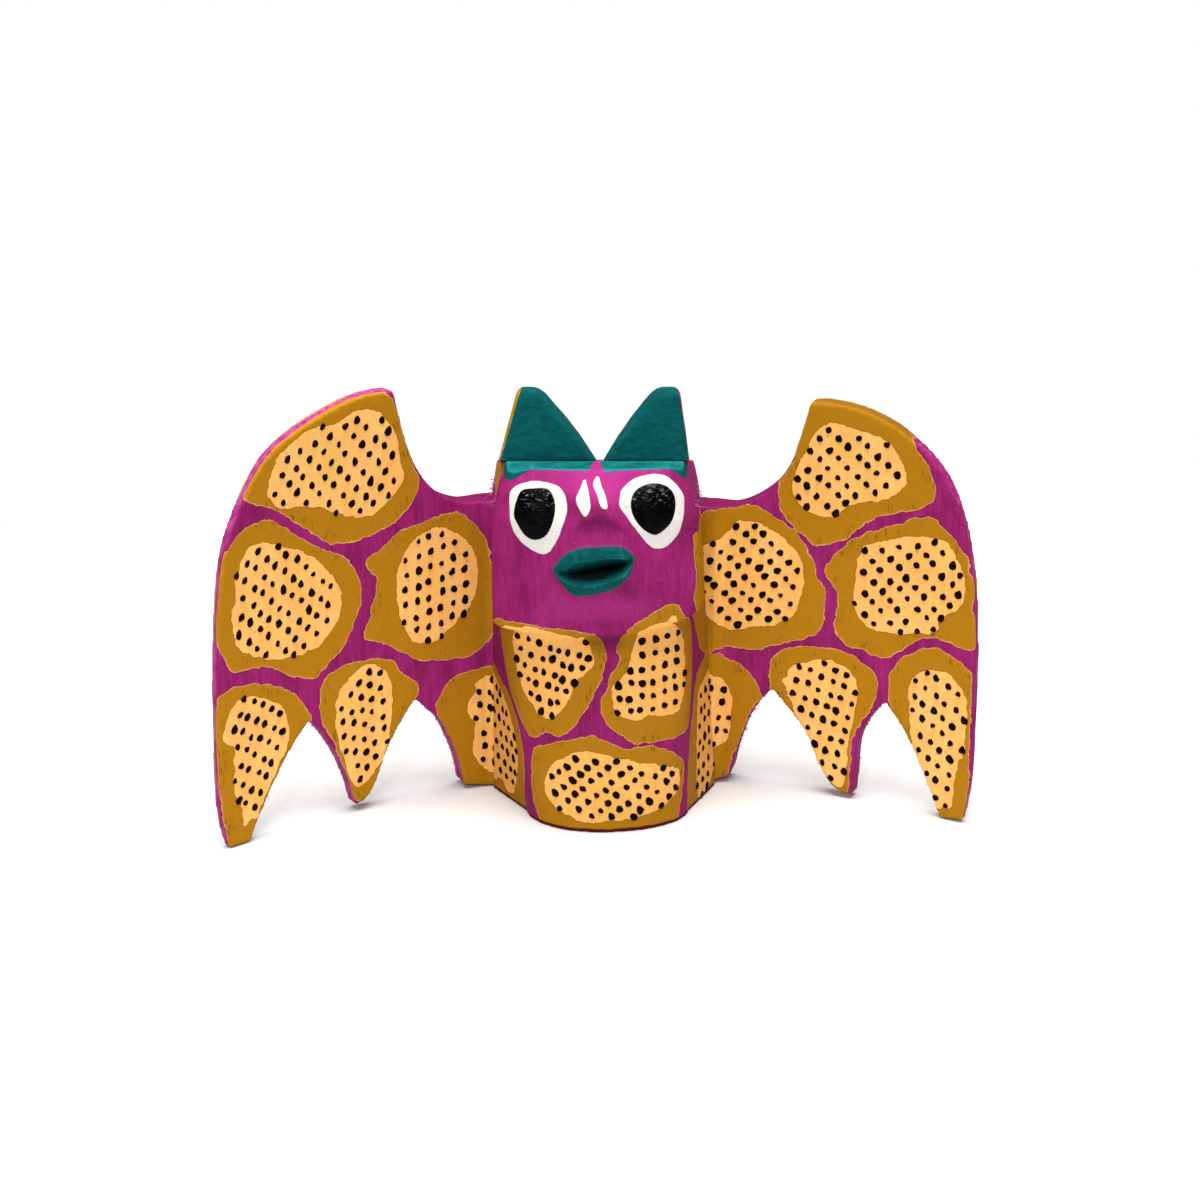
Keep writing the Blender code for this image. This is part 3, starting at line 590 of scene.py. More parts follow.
HEART_SHARE = 0.68  # of a patch on the back
BACK_CREAM = {name: shrunk(outline, HEART_SHARE) for name, outline in BACK_OCHRE.items()}
hearts["front"] = {
    patch: np.where(faces_back, FAR_MM, depth_in(outline, round_body, z))
    for patch, outline in BODY_CREAM.items()
}
hearts["back"] = {
    patch: np.where(faces_back, depth_in(outline, x, z), FAR_MM)
    for patch, outline in BACK_CREAM.items()
}
store(body, "cream", np.min([*hearts["front"].values(), *hearts["back"].values()], 0))
TEMPLE_FOOT_MM, TEMPLE_MIDDLE_MM, TEMPLE_HALF_MM = 50.6, 1.2, 5.4  # a strip of ochre below the left ear
above_foot, from_middle = TEMPLE_FOOT_MM - z, np.abs(y - TEMPLE_MIDDLE_MM) - TEMPLE_HALF_MM
temple = np.maximum.reduce([above_foot, from_middle, (normals[:, 0] + 0.84) * 6])
store(body, "ochre", np.minimum(on_body(BODY_OCHRE, BACK_OCHRE.values()), temple))


def on_face(*names):
    return np.where(faces_front, nearest_of([FACE[name] for name in names], x, z), FAR_MM)


whites = on_face("left eye white", "right eye white", "left brow mark", "right brow mark")
lips = on_face("lips")
store(body, "white", whites)
print("the body's front unrolls to", round(np.ptp(round_body[faces_front]), 1), "mm")

# %% [markdown]
# ## Brow and lips
# The ears stand a little behind the brow, which leaves a ledge that is painted teal down to the arris.
# The ledge falls away at its two outer corners. The lips are one teal almond round the cut of the mouth.

# %% Brow and lips
BROW_LINE_MM = [(-15.0, 55.2), (-13.9, 54.6), (-13.1, 54.5), (-12.0, 54.95), (-10.4, 55.45),
                (-8.0, 55.75), (-5.8, 55.85), (-2.6, 55.95), (0.6, 55.95), (2.5, 55.9), (5.7, 55.85),
                (9.8, 55.65), (11.0, 55.2), (12.6, 54.3), (14.0, 54.5)]  # fmt: skip
PARTING_X_MM = -0.5  # middle of the magenta strip between the two ears
brow_x, brow_z = zip(*BROW_LINE_MM)
in_front_of_ears = np.clip((EAR_FRONT_MM - y) / 4.7, 0, 1)
parting = 0.35 + 0.65 * in_front_of_ears - np.abs(x - PARTING_X_MM)
faces_up = np.clip((normals[:, 2] - 0.72) / 0.2, 0, 1)
lifted = z + 1.4 * faces_up  # all that faces up counts as above the line
ledge = np.maximum(np.interp(x, brow_x, brow_z) - lifted, parting)
ledge = np.where((y < EAR_FRONT_MM + 3) & (z > 51), ledge, FAR_MM)
store(body, "teal", ledge)
store(body, "lips", lips)

# %% [markdown]
# ## Relief of the face
# The lips swell a little, the whites of the eyes are a thick coat, and the brow's outer corners were cut
# down with two strokes of the knife. Below the forehead the wood steps back under a small arch: that
# shadow is the nose.

# %% Relief of the face
LIP_SWELL_MM, EYE_COAT_MM = 0.7, 0.08
NOSE_ARCH_MM = [(-3.9, 47.6), (-2.3, 49.6), (-1.2, 50.1), (0, 50.25), (1.2, 50.0), (2.7, 48.9),
                (3.9, 47.0)]  # fmt: skip
NOSE_STEP_MM = 0.75
BACK_ROOM_MM, BACK_FLATNESS = 14, 0.35  # beyond this depth the back is flatter, to leave room for its dots
MOUTH_HEIGHT_MM = 42
MOUTH_SLIT = [(-5.7, 41.7), (-2.6, 42.05), (0.6, 42.7), (4.3, 43.5), (3.5, 42.2), (2.3, 41.5), (0.3, 40.8),
              (-2.2, 40.35), (-4.0, 40.5), (-5.0, 41.0)]  # fmt: skip


def swell(depth, width):
    """0 outside an outline, rising in a quarter circle to 1 at a depth of width inside it."""
    share = np.clip(-depth / width, 0, 1)
    return np.sqrt(1 - (1 - share) ** 2)


below_arch = np.interp(x, *zip(*NOSE_ARCH_MM)) - z
nose = ease(below_arch / 0.7) * rise(z, 45.6, 3.6) * fall(np.abs(x - 0.1), 4.2, 2.2)
in_the_mouth = (normals[:, 1] < 0.6) & (np.abs(z - MOUTH_HEIGHT_MM) < 3) & (y < -8)
slit = np.where(faces_front | in_the_mouth, depth_in(MOUTH_SLIT, x, z), FAR_MM)
corner = np.clip((np.abs(x) - 9.8) / 3.0, 0, 1) * np.clip((-y - 4.5) / 3.5, 0, 1)
points[:, 2] -= np.where(z > 52, corner * np.clip((z - 52) / 3.0, 0, 1), 0)
forward = LIP_SWELL_MM * swell(lips, 1.7) * ease(slit / 0.5)
forward = forward + EYE_COAT_MM * swell(whites, 0.4) - NOSE_STEP_MM * nose
points[:, 1] -= np.where(faces_front, forward, 0)
past = points[:, 1] - BACK_ROOM_MM
points[:, 1] = np.where(past > 0, BACK_ROOM_MM + past * BACK_FLATNESS, points[:, 1])
set_points(body.data, points)
# The cut of the mouth, inside which the material paints shadow.
store(body, "mouth", slit)
print("lips, nose and brow corners shaped")

# %% [markdown]
# ## Darker and paler coats
# Soft shade gathers under the nose and the chin and down the torso, and what faces up is paler. A little
# of both is painted in here, as on a model figure, and it stays when the lamp is moved. Two masks from 0
# up are stored, by which the material mixes a darker and a paler coat.

# %% Darker and paler coats
under_chin = fall(z, 31.4, 0.7) * rise(z, 26.5, 3.5) * fall(np.abs(round_body - 0.8), 4.6, 2.5)
torso = fall(z, 31.5, 1) * (0.3 + 0.5 * rise(np.abs(round_body), 12, 6)) * ~faces_back
store(body, "shade", np.maximum.reduce([nose * 0.6, under_chin * 1.2, torso]))
# Painted light: the forehead, the chin's bulge and the up-facing ledge are paler.
forehead = rise(z, 51, 2.5) * fall(np.abs(x), 11, 5)
chin = 0.7 * rise(z, 33, 1.5) * fall(z, 39, 3) * fall(np.abs(x), 11, 6)
on_ledge = 0.45 * rise(normals[:, 2], 0.7, 0.2) * (z > 53)
store(body, "pale", np.maximum(np.maximum(forehead, chin) * faces_front, on_ledge))
print("darker coat on", int((torso > 0).sum()), "points of the torso")

# %% [markdown]
# ## Ears
# The teal covers the front of each ear, its inner slope and its tip, and runs part of the way down its
# back, where the magenta of the head takes over. The left ear's outer side has a strip of ochre.

# %% Ears
EAR_HEIGHT_MM, EAR_LEAN_MM = 9.9, 2.2
TEAL_TURN_MM, TEAL_TURN_OUTSIDE_MM = 20.0, 0.45  # how far it runs back on the inner and on the outer side
STRIP_MIDDLE_MM, STRIP_HALF_MM = 0.8, 4.9  # of the ochre on the left ear, from front to back

for hand, ear in ears.items():
    points, normals = points_of(ear.data), normals_of(ear.data)
    behind_front = points[:, 1] - EAR_FRONT_MM - (points[:, 2] - HEAD_TOP_MM) / EAR_HEIGHT_MM * EAR_LEAN_MM
    faces_out = rise(normals[:, 0] * OUTWARD[hand], 0.2, 0.4)
    faces_backwards = np.clip((normals[:, 1] - 0.2) * 3, 0, 1) * FAR_MM
    turned = behind_front - TEAL_TURN_MM + faces_out * (TEAL_TURN_MM - TEAL_TURN_OUTSIDE_MM)
    store(ear, "teal", turned + faces_backwards)
    strip = np.abs(points[:, 1] - STRIP_MIDDLE_MM) - STRIP_HALF_MM + (1 - faces_out) * 6
    store(ear, "ochre", strip if hand == "left" else np.full(len(points), FAR_MM))
    store(ear, "edge", np.zeros(len(points)))
store(body, "edge", np.zeros(len(body.data.vertices)))

# %% [markdown]
# ## Worn arrises
# Paint is thinnest where the wood turns a corner. The mesh knows its own corners: a point that stands out
# beyond the middle of its neighbours is on one. A few rounds of averaging spread that number, and the
# material lightens the paint there.

# %% Worn arrises
WEAR_STEP_MM = 0.12 * VOXEL_MM  # a point that stands out this far counts as 1


def store_wear(thing, rounds=3):
    points, normals = points_of(thing.data), normals_of(thing.data)
    ends = np.empty(len(thing.data.edges) * 2, np.int64)
    thing.data.edges.foreach_get("vertices", ends)
    a, b = ends.reshape(-1, 2).T
    count = np.bincount(ends, minlength=len(points))[:, None]

    def around(values):
        total = np.zeros_like(values)
        for column in range(values.shape[1]):
            total[:, column] = np.bincount(a, values[b, column], len(points))
            total[:, column] += np.bincount(b, values[a, column], len(points))
        return total / count

    stands_out = ((points - around(points)) * normals).sum(1)[:, None]
    for _ in range(rounds):
        stands_out = (stands_out + around(stands_out)) / 2
    store(thing, "worn", stands_out[:, 0] / WEAR_STEP_MM)


for thing in carved_pieces:
    store_wear(thing)
print("wear stored on", len(carved_pieces), "pieces")

# %% [markdown]
# ## A short hand for nodes
# Materials and Geometry Nodes are both graphs of nodes. Graph holds what they share, so that each line of
# a graph stays one line of text. Paint is a material: mix lays one colour over another, glaze does so
# thinly, and grain is a noise drawn out along the wood.


# %% A short hand for nodes
class Graph:
    """Nodes under construction: each method adds one and gives its result."""

    def add(self, kind, values=(), **settings):
        node = self.graph.nodes.new(kind)
        for setting, value in settings.items():
            setattr(node, setting, value)
        for socket, value in dict(values).items():
            self.feed(node.inputs[socket], value)
        return node

    def feed(self, socket, value):
        if isinstance(value, bpy.types.NodeSocket):
            self.graph.links.new(value, socket)
        else:
            socket.default_value = value

    def calc(self, operation, *values):
        return self.add("ShaderNodeMath", enumerate(values), operation=operation).outputs[0]

    def plus(self, a, b):
        return self.calc("ADD", a, b)

    def times(self, a, b):
        return self.calc("MULTIPLY", a, b)

    def times_plus(self, a, b, c):
        return self.calc("MULTIPLY_ADD", a, b, c)

    def parts(self, vector):
        return self.add("ShaderNodeSeparateXYZ", {0: vector}).outputs


class Paint(Graph):
    def __init__(self, name):
        self.material = bpy.data.materials.new(name)
        self.material.use_nodes = True
        self.graph = self.material.node_tree
        self.shader = self.graph.nodes["Principled BSDF"]
        self.place = self.add("ShaderNodeTexCoord").outputs["Object"]

    def mix(self, share, under, over):
        return self.add("ShaderNodeMix", {0: share, 6: under, 7: over}, data_type="RGBA").outputs[2]

    def glaze(self, under, over, where, strength):
        return self.mix(self.times(where, strength), under, over)

    def ramp(self, value, low, high):
        """0 below low and 1 above high, eased; low may be the larger one."""
        values = {"Value": value, "From Min": low, "From Max": high}
        return self.add("ShaderNodeMapRange", values, interpolation_type="SMOOTHSTEP").outputs[0]

    def grain(self, spacing_mm, stretch=(1, 1, 1), turn=(0, 0, 0), detail=2.0):
        moved = self.add("ShaderNodeMapping", {"Vector": self.place, "Scale": stretch, "Rotation": turn})
        values = {"Vector": moved.outputs[0], "Scale": 1 / (spacing_mm * MM), "Detail": detail}
        return self.add("ShaderNodeTexNoise", values).outputs["Fac"]

    def stored(self, name):
        return self.add("ShaderNodeAttribute", attribute_name=name).outputs["Fac"]

    def inside(self, distance, waver, soft_mm=0.05):
        """A mask from a stored distance: 1 inside the outline, whose edge the waver moves."""
        return self.ramp(self.plus(distance, waver), soft_mm, -soft_mm)

    def finish(self, colour, roughness, height, relief_mm):
        bump = self.add("ShaderNodeBump", {"Height": height, "Distance": relief_mm * MM, "Strength": 1.0})
        self.feed(self.shader.inputs["Base Color"], colour)
        self.feed(self.shader.inputs["Roughness"], roughness)
        self.feed(self.shader.inputs["Normal"], bump.outputs[0])
        return self.material


def rgb(red, green, blue):
    """A colour as a paint chart gives it, 0 to 255, made linear for the shader."""
    return (*(((c / 255 + 0.055) / 1.055) ** 2.4 if c > 10 else c / 3295 for c in (red, green, blue)), 1)


# %% [markdown]
# ## Hand-painted wood
# One material serves every painted piece, because the bat was painted whole. From the wood up there is
# the magenta ground with its grain and pale scratches, pink where the edge is rubbed, then teal, ochre,
# cream and white, each inside its stored outline, and brown at the foot. Each coat adds a little height,
# which the bump turns into the raised lip that a loaded brush leaves.

# %% Hand-painted wood
MAGENTA_DARK, MAGENTA, MAGENTA_LIGHT = rgb(124, 26, 82), rgb(146, 32, 100), rgb(164, 44, 120)
MAGENTA_SHADED, MAGENTA_LIT = rgb(100, 18, 64), rgb(172, 50, 132)
RUBBED_PINK, FLECK = rgb(184, 84, 150), rgb(226, 160, 204)
OCHRE, OCHRE_THIN, OCHRE_LIP_HIGHLIGHT = rgb(184, 126, 17), rgb(112, 74, 18), rgb(228, 156, 104)
CREAM, CREAM_DEEP = rgb(250, 190, 108), rgb(247, 180, 96)
CREAM_STAIN, CREAM_SHADED = rgb(236, 188, 90), rgb(206, 142, 58)
TEAL_DEEP, TEAL_DARK, TEAL, TEAL_WORN_AND_LIT = rgb(0, 50, 52), rgb(0, 70, 70), rgb(0, 82, 82), rgb(30, 130, 128)
EYE_WHITE, MOUTH_SHADOW, BASE_BROWN = rgb(215, 210, 205), rgb(0, 12, 14), rgb(84, 22, 16)
PIT_BROWN = rgb(60, 30, 30)


def painted_wood():
    paint = Paint("painted_wood")
    along_wood = paint.grain(0.4, (1, 1, 0.07), detail=3.0)
    clouds = paint.grain(3.5, (1, 1, 0.5))
    waver = paint.times_plus(paint.grain(1.5, detail=1.0), 0.9, -0.45)
    bristle = paint.times_plus(paint.grain(0.4, detail=2.0), 0.3, -0.15)
    ragged = paint.plus(waver, bristle)

    tone = paint.times_plus(along_wood, 0.4, paint.times(clouds, 0.6))
    colour = paint.mix(paint.ramp(tone, 0.35, 0.55), MAGENTA_DARK, MAGENTA)
    colour = paint.mix(paint.ramp(tone, 0.5, 0.75), colour, MAGENTA_LIGHT)
    # Painted light and painted shade: a paler magenta where the stored pale mask marks what faces up, and a
    # darker one under the shade mask.
    colour = paint.glaze(colour, MAGENTA_LIT, paint.stored("pale"), 0.5)
    colour = paint.glaze(colour, MAGENTA_SHADED, paint.stored("shade"), 0.6)
    scratch = paint.ramp(paint.grain(0.2, (1, 1, 0.05), (0.06, 0.1, 0)), 0.68, 0.76)
    colour = paint.glaze(colour, RUBBED_PINK, scratch, 0.35)
    fleck = paint.ramp(paint.grain(0.17, detail=0.0), 0.82, 0.88)
    colour = paint.glaze(colour, FLECK, fleck, 0.5)

    edge = paint.times_plus(paint.grain(0.8, (1, 1, 0.25)), 1.0, paint.stored("edge"))
    rubbed = paint.times(paint.ramp(edge, 1.1, 1.6), 0.9)
    patchy = paint.times_plus(paint.grain(0.6, (1, 1, 0.3)), 1.2, paint.times(clouds, 1.6))
    worn = paint.plus(patchy, paint.stored("worn"))
    rubbed = paint.calc("MAXIMUM", rubbed, paint.times(paint.ramp(worn, 2.5, 3.6), 0.45))
    colour = paint.mix(rubbed, colour, RUBBED_PINK)

    teal = paint.inside(paint.stored("teal"), paint.times(ragged, 0.35), 0.08)
    brushed = paint.grain(0.45, (0.3, 1, 0.7), (0, 0.5, 0), 4.0)
    teal_colour = paint.mix(paint.ramp(brushed, 0.35, 0.65), TEAL_DARK, TEAL)
    scraped = paint.ramp(paint.grain(0.4, (0.5, 1, 1), (0, -0.9, 0)), 0.6, 0.72)
    teal_colour = paint.glaze(teal_colour, TEAL_DEEP, scraped, 0.5)
    # Lighter teal on worn arrises, which also stands for a highlight on the ears' top rims, and painted light
    # on the up-facing ledge through the stored pale mask.
    worn_and_lit_teal = paint.times_plus(paint.stored("pale"), 2.0, worn)
    teal_colour = paint.glaze(teal_colour, TEAL_WORN_AND_LIT, paint.ramp(worn_and_lit_teal, 1.8, 3.1), 0.7)
    colour = paint.mix(teal, colour, teal_colour)
    lips = paint.inside(paint.stored("lips"), paint.times(ragged, 0.3), 0.24)
    colour = paint.mix(lips, colour, teal_colour)
    # Painted shadow: near-black teal inside the cut of the mouth, where shade falls.
    mouth = paint.ramp(paint.times_plus(ragged, 0.5, paint.stored("mouth")), 0.45, -0.5)
    colour = paint.mix(mouth, colour, MOUTH_SHADOW)

    to_ochre = paint.plus(paint.stored("ochre"), ragged)
    ochre = paint.ramp(to_ochre, 0.04, -0.04)
    strokes = paint.grain(0.35, (1, 1, 0.3), (0, 0.9, 0), 3.0)
    thin = paint.times(paint.ramp(strokes, 0.5, 0.66), paint.ramp(paint.grain(3.2), 0.47, 0.62))
    near_rim = paint.ramp(to_ochre, -2.4, -0.6)
    thin = paint.times(paint.times(thin, near_rim), 0.75)
    lip = paint.ramp(paint.calc("ABSOLUTE", paint.plus(to_ochre, 0.06)), 0.13, 0.04)
    ochre_colour = paint.glaze(OCHRE, OCHRE_THIN, paint.grain(0.15), 0.35)
    ochre_colour = paint.mix(thin, ochre_colour, OCHRE_THIN)
    # Painted highlight: a lighter line on the raised lip along the ochre's edge, where the lip would catch
    # the light. The lip's height is real relief in the bump.
    ochre_colour = paint.glaze(ochre_colour, OCHRE_LIP_HIGHLIGHT, lip, 0.8)
    # Painted shade: the ochre turns towards thin ochre under the shade mask, on the torso and on the wings'
    # top edges.
    ochre_colour = paint.glaze(ochre_colour, OCHRE_THIN, paint.stored("shade"), 0.5)
    colour = paint.mix(ochre, colour, ochre_colour)

    to_cream = paint.plus(paint.stored("cream"), ragged)
    cream = paint.ramp(to_cream, 0.04, -0.04)
    # A thin darker line of thin ochre just outside each cream heart.
    dark_ring = paint.ramp(paint.calc("ABSOLUTE", paint.calc("SUBTRACT", to_cream, 0.08)), 0.1, 0.0)
    colour = paint.glaze(colour, OCHRE_THIN, dark_ring, 0.45)
    cream_colour = paint.mix(paint.ramp(clouds, 0.35, 0.65), CREAM, CREAM_DEEP)
    stain = paint.times(paint.ramp(paint.grain(4.5, detail=1.0), 0.56, 0.7), 0.6)
    cream_colour = paint.mix(stain, cream_colour, CREAM_STAIN)
    cream_colour = paint.glaze(cream_colour, CREAM_SHADED, paint.stored("shade"), 0.75)
    colour = paint.mix(cream, colour, cream_colour)
    white = paint.inside(paint.stored("white"), paint.times(ragged, 0.25))
    colour = paint.mix(white, colour, EYE_WHITE)
    pits = paint.ramp(paint.grain(0.24, detail=0.0), 0.24, 0.18)
    colour = paint.glaze(colour, PIT_BROWN, pits, 0.45)
    foot = paint.ramp(paint.times_plus(ragged, 0.3, paint.stored("foot")), 0.1, -0.1)
    colour = paint.mix(foot, colour, BASE_BROWN)

    gloss = paint.times_plus(along_wood, 0.25, 0.6)
    coats = paint.plus(ochre, paint.times(paint.plus(cream, white), 0.7))
    coats = paint.times_plus(teal, 0.6, coats)
    coats = paint.times_plus(lip, 0.5, coats)
    coats = paint.times_plus(pits, -0.8, coats)
    height = paint.times_plus(along_wood, 0.5, coats)
    height = paint.times_plus(brushed, 0.4, height)
    paint.shader.inputs["IOR"].default_value = 1.14
    return paint.finish(colour, gloss, height, 0.06)


wood_paint = painted_wood()
FOOT_MM = 0.6  # how high the brown of the foot reaches
store(body, "foot", points_of(body.data)[:, 2] - FOOT_MM)
for thing in carved_pieces:
    for name in ("ochre", "cream", "teal", "lips", "white", "mouth", "foot"):
        if name not in thing.data.attributes:
            store(thing, name, np.full(len(thing.data.vertices), FAR_MM))
    thing.data.materials.append(wood_paint)
print("painted wood has", len(wood_paint.node_tree.nodes), "nodes")

# %% [markdown]
# ## Pupils
# Each pupil is one thick drop of gloss black that dried as a low dome, with the brush's swirls still in
# it. Grey streaks on its wrinkles in the upper half are a painted highlight, where a lamp in front would
# glint. It is a piece of its own: rings inside the drop's outline, dropped onto the face from the front
# and lifted in the middle.

# %% Pupils
# The last grey is that of the painted highlight on the pupils.
BLACK, BLACK_SOFT, GLINT_GREY = rgb(2, 2, 2), rgb(8, 7, 7), rgb(118, 116, 120)
PUPIL_DOME_MM, PUPIL_RINGS = 0.65, 14
DOME_ROUNDNESS = 0.8  # exponent of the dome's rise: 1 is a parabola, 0.5 a ball
RIM_SUNK_MM = 0.12  # how far the rim sinks into the white


def gloss_black():
    paint = Paint("gloss_black")
    swirls = paint.grain(0.7, (1, 1, 1.9), (0, 0.5, 0), 4.0)
    colour = paint.mix(paint.ramp(swirls, 0.4, 0.7), BLACK, BLACK_SOFT)
    wrinkles = paint.grain(0.55, (0.8, 1, 1.7), (0, 0.6, 0), 4.0)
    # Painted highlight: grey streaks on the crests of the wrinkles, in the upper half only.
    glint_streaks = paint.times(paint.ramp(wrinkles, 0.55, 0.75), paint.stored("painted_glint"))
    colour = paint.mix(glint_streaks, colour, GLINT_GREY)
    paint.shader.inputs["IOR"].default_value = 1.12
    return paint.finish(colour, 0.18, wrinkles, 0.16)


face_tree = BVHTree.FromObject(body, bpy.context.evaluated_depsgraph_get())


def drop_on_face(name, outline):
    edge = brush_curve(outline)
    centre = edge.mean(0)
    bm = bmesh.new()
    rings = []
    for i in range(PUPIL_RINGS + 1):
        share = math.sin(math.pi / 2 * (1 - i / PUPIL_RINGS))  # rings crowd towards the rim
        lift = PUPIL_DOME_MM * (1 - share**2) ** DOME_ROUNDNESS - (RIM_SUNK_MM if i == 0 else 0)
        ring = []
        for across, up in centre + (edge - centre) * share if i < PUPIL_RINGS else [centre]:
            hit = face_tree.ray_cast(Vector((across * MM, -0.05, up * MM)), Vector((0, 1, 0)))[0]
            ring.append(bm.verts.new((across * MM, hit.y - lift * MM, up * MM)))
        rings.append(ring)
    for outer, inner in zip(rings, rings[1:]):
        for i in range(len(outer)):
            j = (i + 1) % len(outer)
            inside = (inner[j], inner[i]) if len(inner) > 1 else (inner[0],)
            bm.faces.new((outer[i], outer[j], *inside))
    bm.faces.new(reversed(rings[0]))
    bmesh.ops.recalc_face_normals(bm, faces=bm.faces)
    for face in bm.faces:
        face.smooth = True
    mesh = bpy.data.meshes.new(name)
    bm.to_mesh(mesh)
    bm.free()
    return keep(name, mesh)


pupil_paint = gloss_black()
pupils = [drop_on_face(hand + "_pupil", FACE[hand + " pupil"]) for hand in OUTWARD]
for pupil in pupils:
    up = points_of(pupil.data)[:, 2]
    # The painted highlight's mask: 0 up to the middle of the pupil, rising to 1 a third of its height above
    # it.
    store(pupil, "painted_glint", ease((up - np.mean(up)) / np.ptp(up) * 3))
    pupil.data.materials.append(pupil_paint)
    print(pupil.name, "has", len(pupil.data.polygons), "faces")

# %% [markdown]
# ## Dot paint
# The dots are thick, nearly black and glossy, with a brown tinge where they thin out.


# %% Dot paint
def dot_paint():
    paint = Paint("dot_paint")
    tone = paint.grain(0.6)
    colour = paint.mix(paint.ramp(tone, 0.5, 0.75), rgb(9, 3, 3), rgb(50, 16, 6))
    paint.shader.inputs["IOR"].default_value = 1.1
    return paint.finish(colour, 0.25, paint.grain(0.3), 0.02)


dark_paint = dot_paint()

# %% [markdown]
# ## Dots by the hundred
# A Geometry Nodes tree does the repeating. Two steps say how the rows run: one from dot to dot, one from
# row to row. Each place is shaken a little, and then a ray is shot for each dot from or towards the
# drum's axis. Where the ray meets cream paint, a drop of paint stays: a low dome with one end drawn out,
# as a stick leaves it.


# %% Tree for the dots
class Tree(Graph):
    def __init__(self, name, **asked):
        """asked gives the kind of each named input: Object, Material, Float or Int."""
        self.graph = bpy.data.node_groups.new(name, "GeometryNodeTree")
        self.graph.interface.new_socket("Geometry", in_out="INPUT", socket_type="NodeSocketGeometry")
        self.graph.interface.new_socket("Geometry", in_out="OUTPUT", socket_type="NodeSocketGeometry")
        self.inputs = self.graph.nodes.new("NodeGroupInput")
        self.sockets = {}
        for kind, names in asked.items():
            for name in names:
                kind_of_socket = "NodeSocket" + kind
                socket = self.graph.interface.new_socket(name, in_out="INPUT", socket_type=kind_of_socket)
                self.sockets[name] = socket.identifier

    def given(self, name):
        return self.inputs.outputs[name]

    def vector(self, operation, *values):
        node = self.add("ShaderNodeVectorMath", enumerate(values), operation=operation)
        return node.outputs["Vector"]

    def join(self, x, y, z):
        return self.add("ShaderNodeCombineXYZ", {"X": x, "Y": y, "Z": z}).outputs[0]

    def random(self, low, high, seed_step):
        values = {2: low, 3: high, "Seed": self.plus(self.given("Seed"), seed_step)}
        return self.add("FunctionNodeRandomValue", values, data_type="FLOAT").outputs[1]

    def moved(self, geometry, **where):
        values = {"Geometry": geometry, **where}
        return self.add("GeometryNodeSetPosition", values).outputs[0]

    def rotated(self, rotation, by):
        values = {"Rotation": rotation, "Rotate By": by}
        return self.add("FunctionNodeRotateRotation", values, rotation_space="LOCAL").outputs[0]

    def placed(self, points, instance, rotation, scale):
        """The instance on every point, as real faces."""
        values = {"Points": points, "Instance": instance, "Rotation": rotation, "Scale": scale}
        many = self.add("GeometryNodeInstanceOnPoints", values)
        return self.add("GeometryNodeRealizeInstances", {"Geometry": many.outputs[0]}).outputs[0]

    def end(self, geometry):
        """The last node gives the paint that was asked for, and its result leaves the tree."""
        values = {"Geometry": geometry, "Material": self.given("Paint")}
        painted = self.add("GeometryNodeSetMaterial", values)
        out = self.graph.nodes.new("NodeGroupOutput")
        self.graph.links.new(painted.outputs[0], out.inputs[0])

    def run(self, name, **values):
        """The tree's result as a plain mesh object. Values are matched to the inputs by name."""
        carrier = keep(name, bpy.data.meshes.new(name))
        modifier = carrier.modifiers.new("grown", "NODES")
        modifier.node_group = self.graph
        for asked, value in values.items():
            modifier[self.sockets[asked]] = value
        return applied(carrier, name)


DOT_TAPER = 0.3  # how much narrower a dot gets over its length
DOT_SPREAD, PRESS_SPREAD = (0.8, 1.2), (0.85, 1.2)  # of a dot's size, and of its length besides
DOME_HEIGHT = 0.5  # of its width
TILT_SPREAD = 0.35  # radians to either side
LUMP_SPACING_MM, LUMP_MM = 2 / 3, 0.45
SLACK_MM = (-0.1, 0.5)  # a dot's middle may lie 0.1 outside the cream, and some keep 0.5 inside it
OVERHANG = -0.3  # where the skin looks further down than this, the stick can't reach


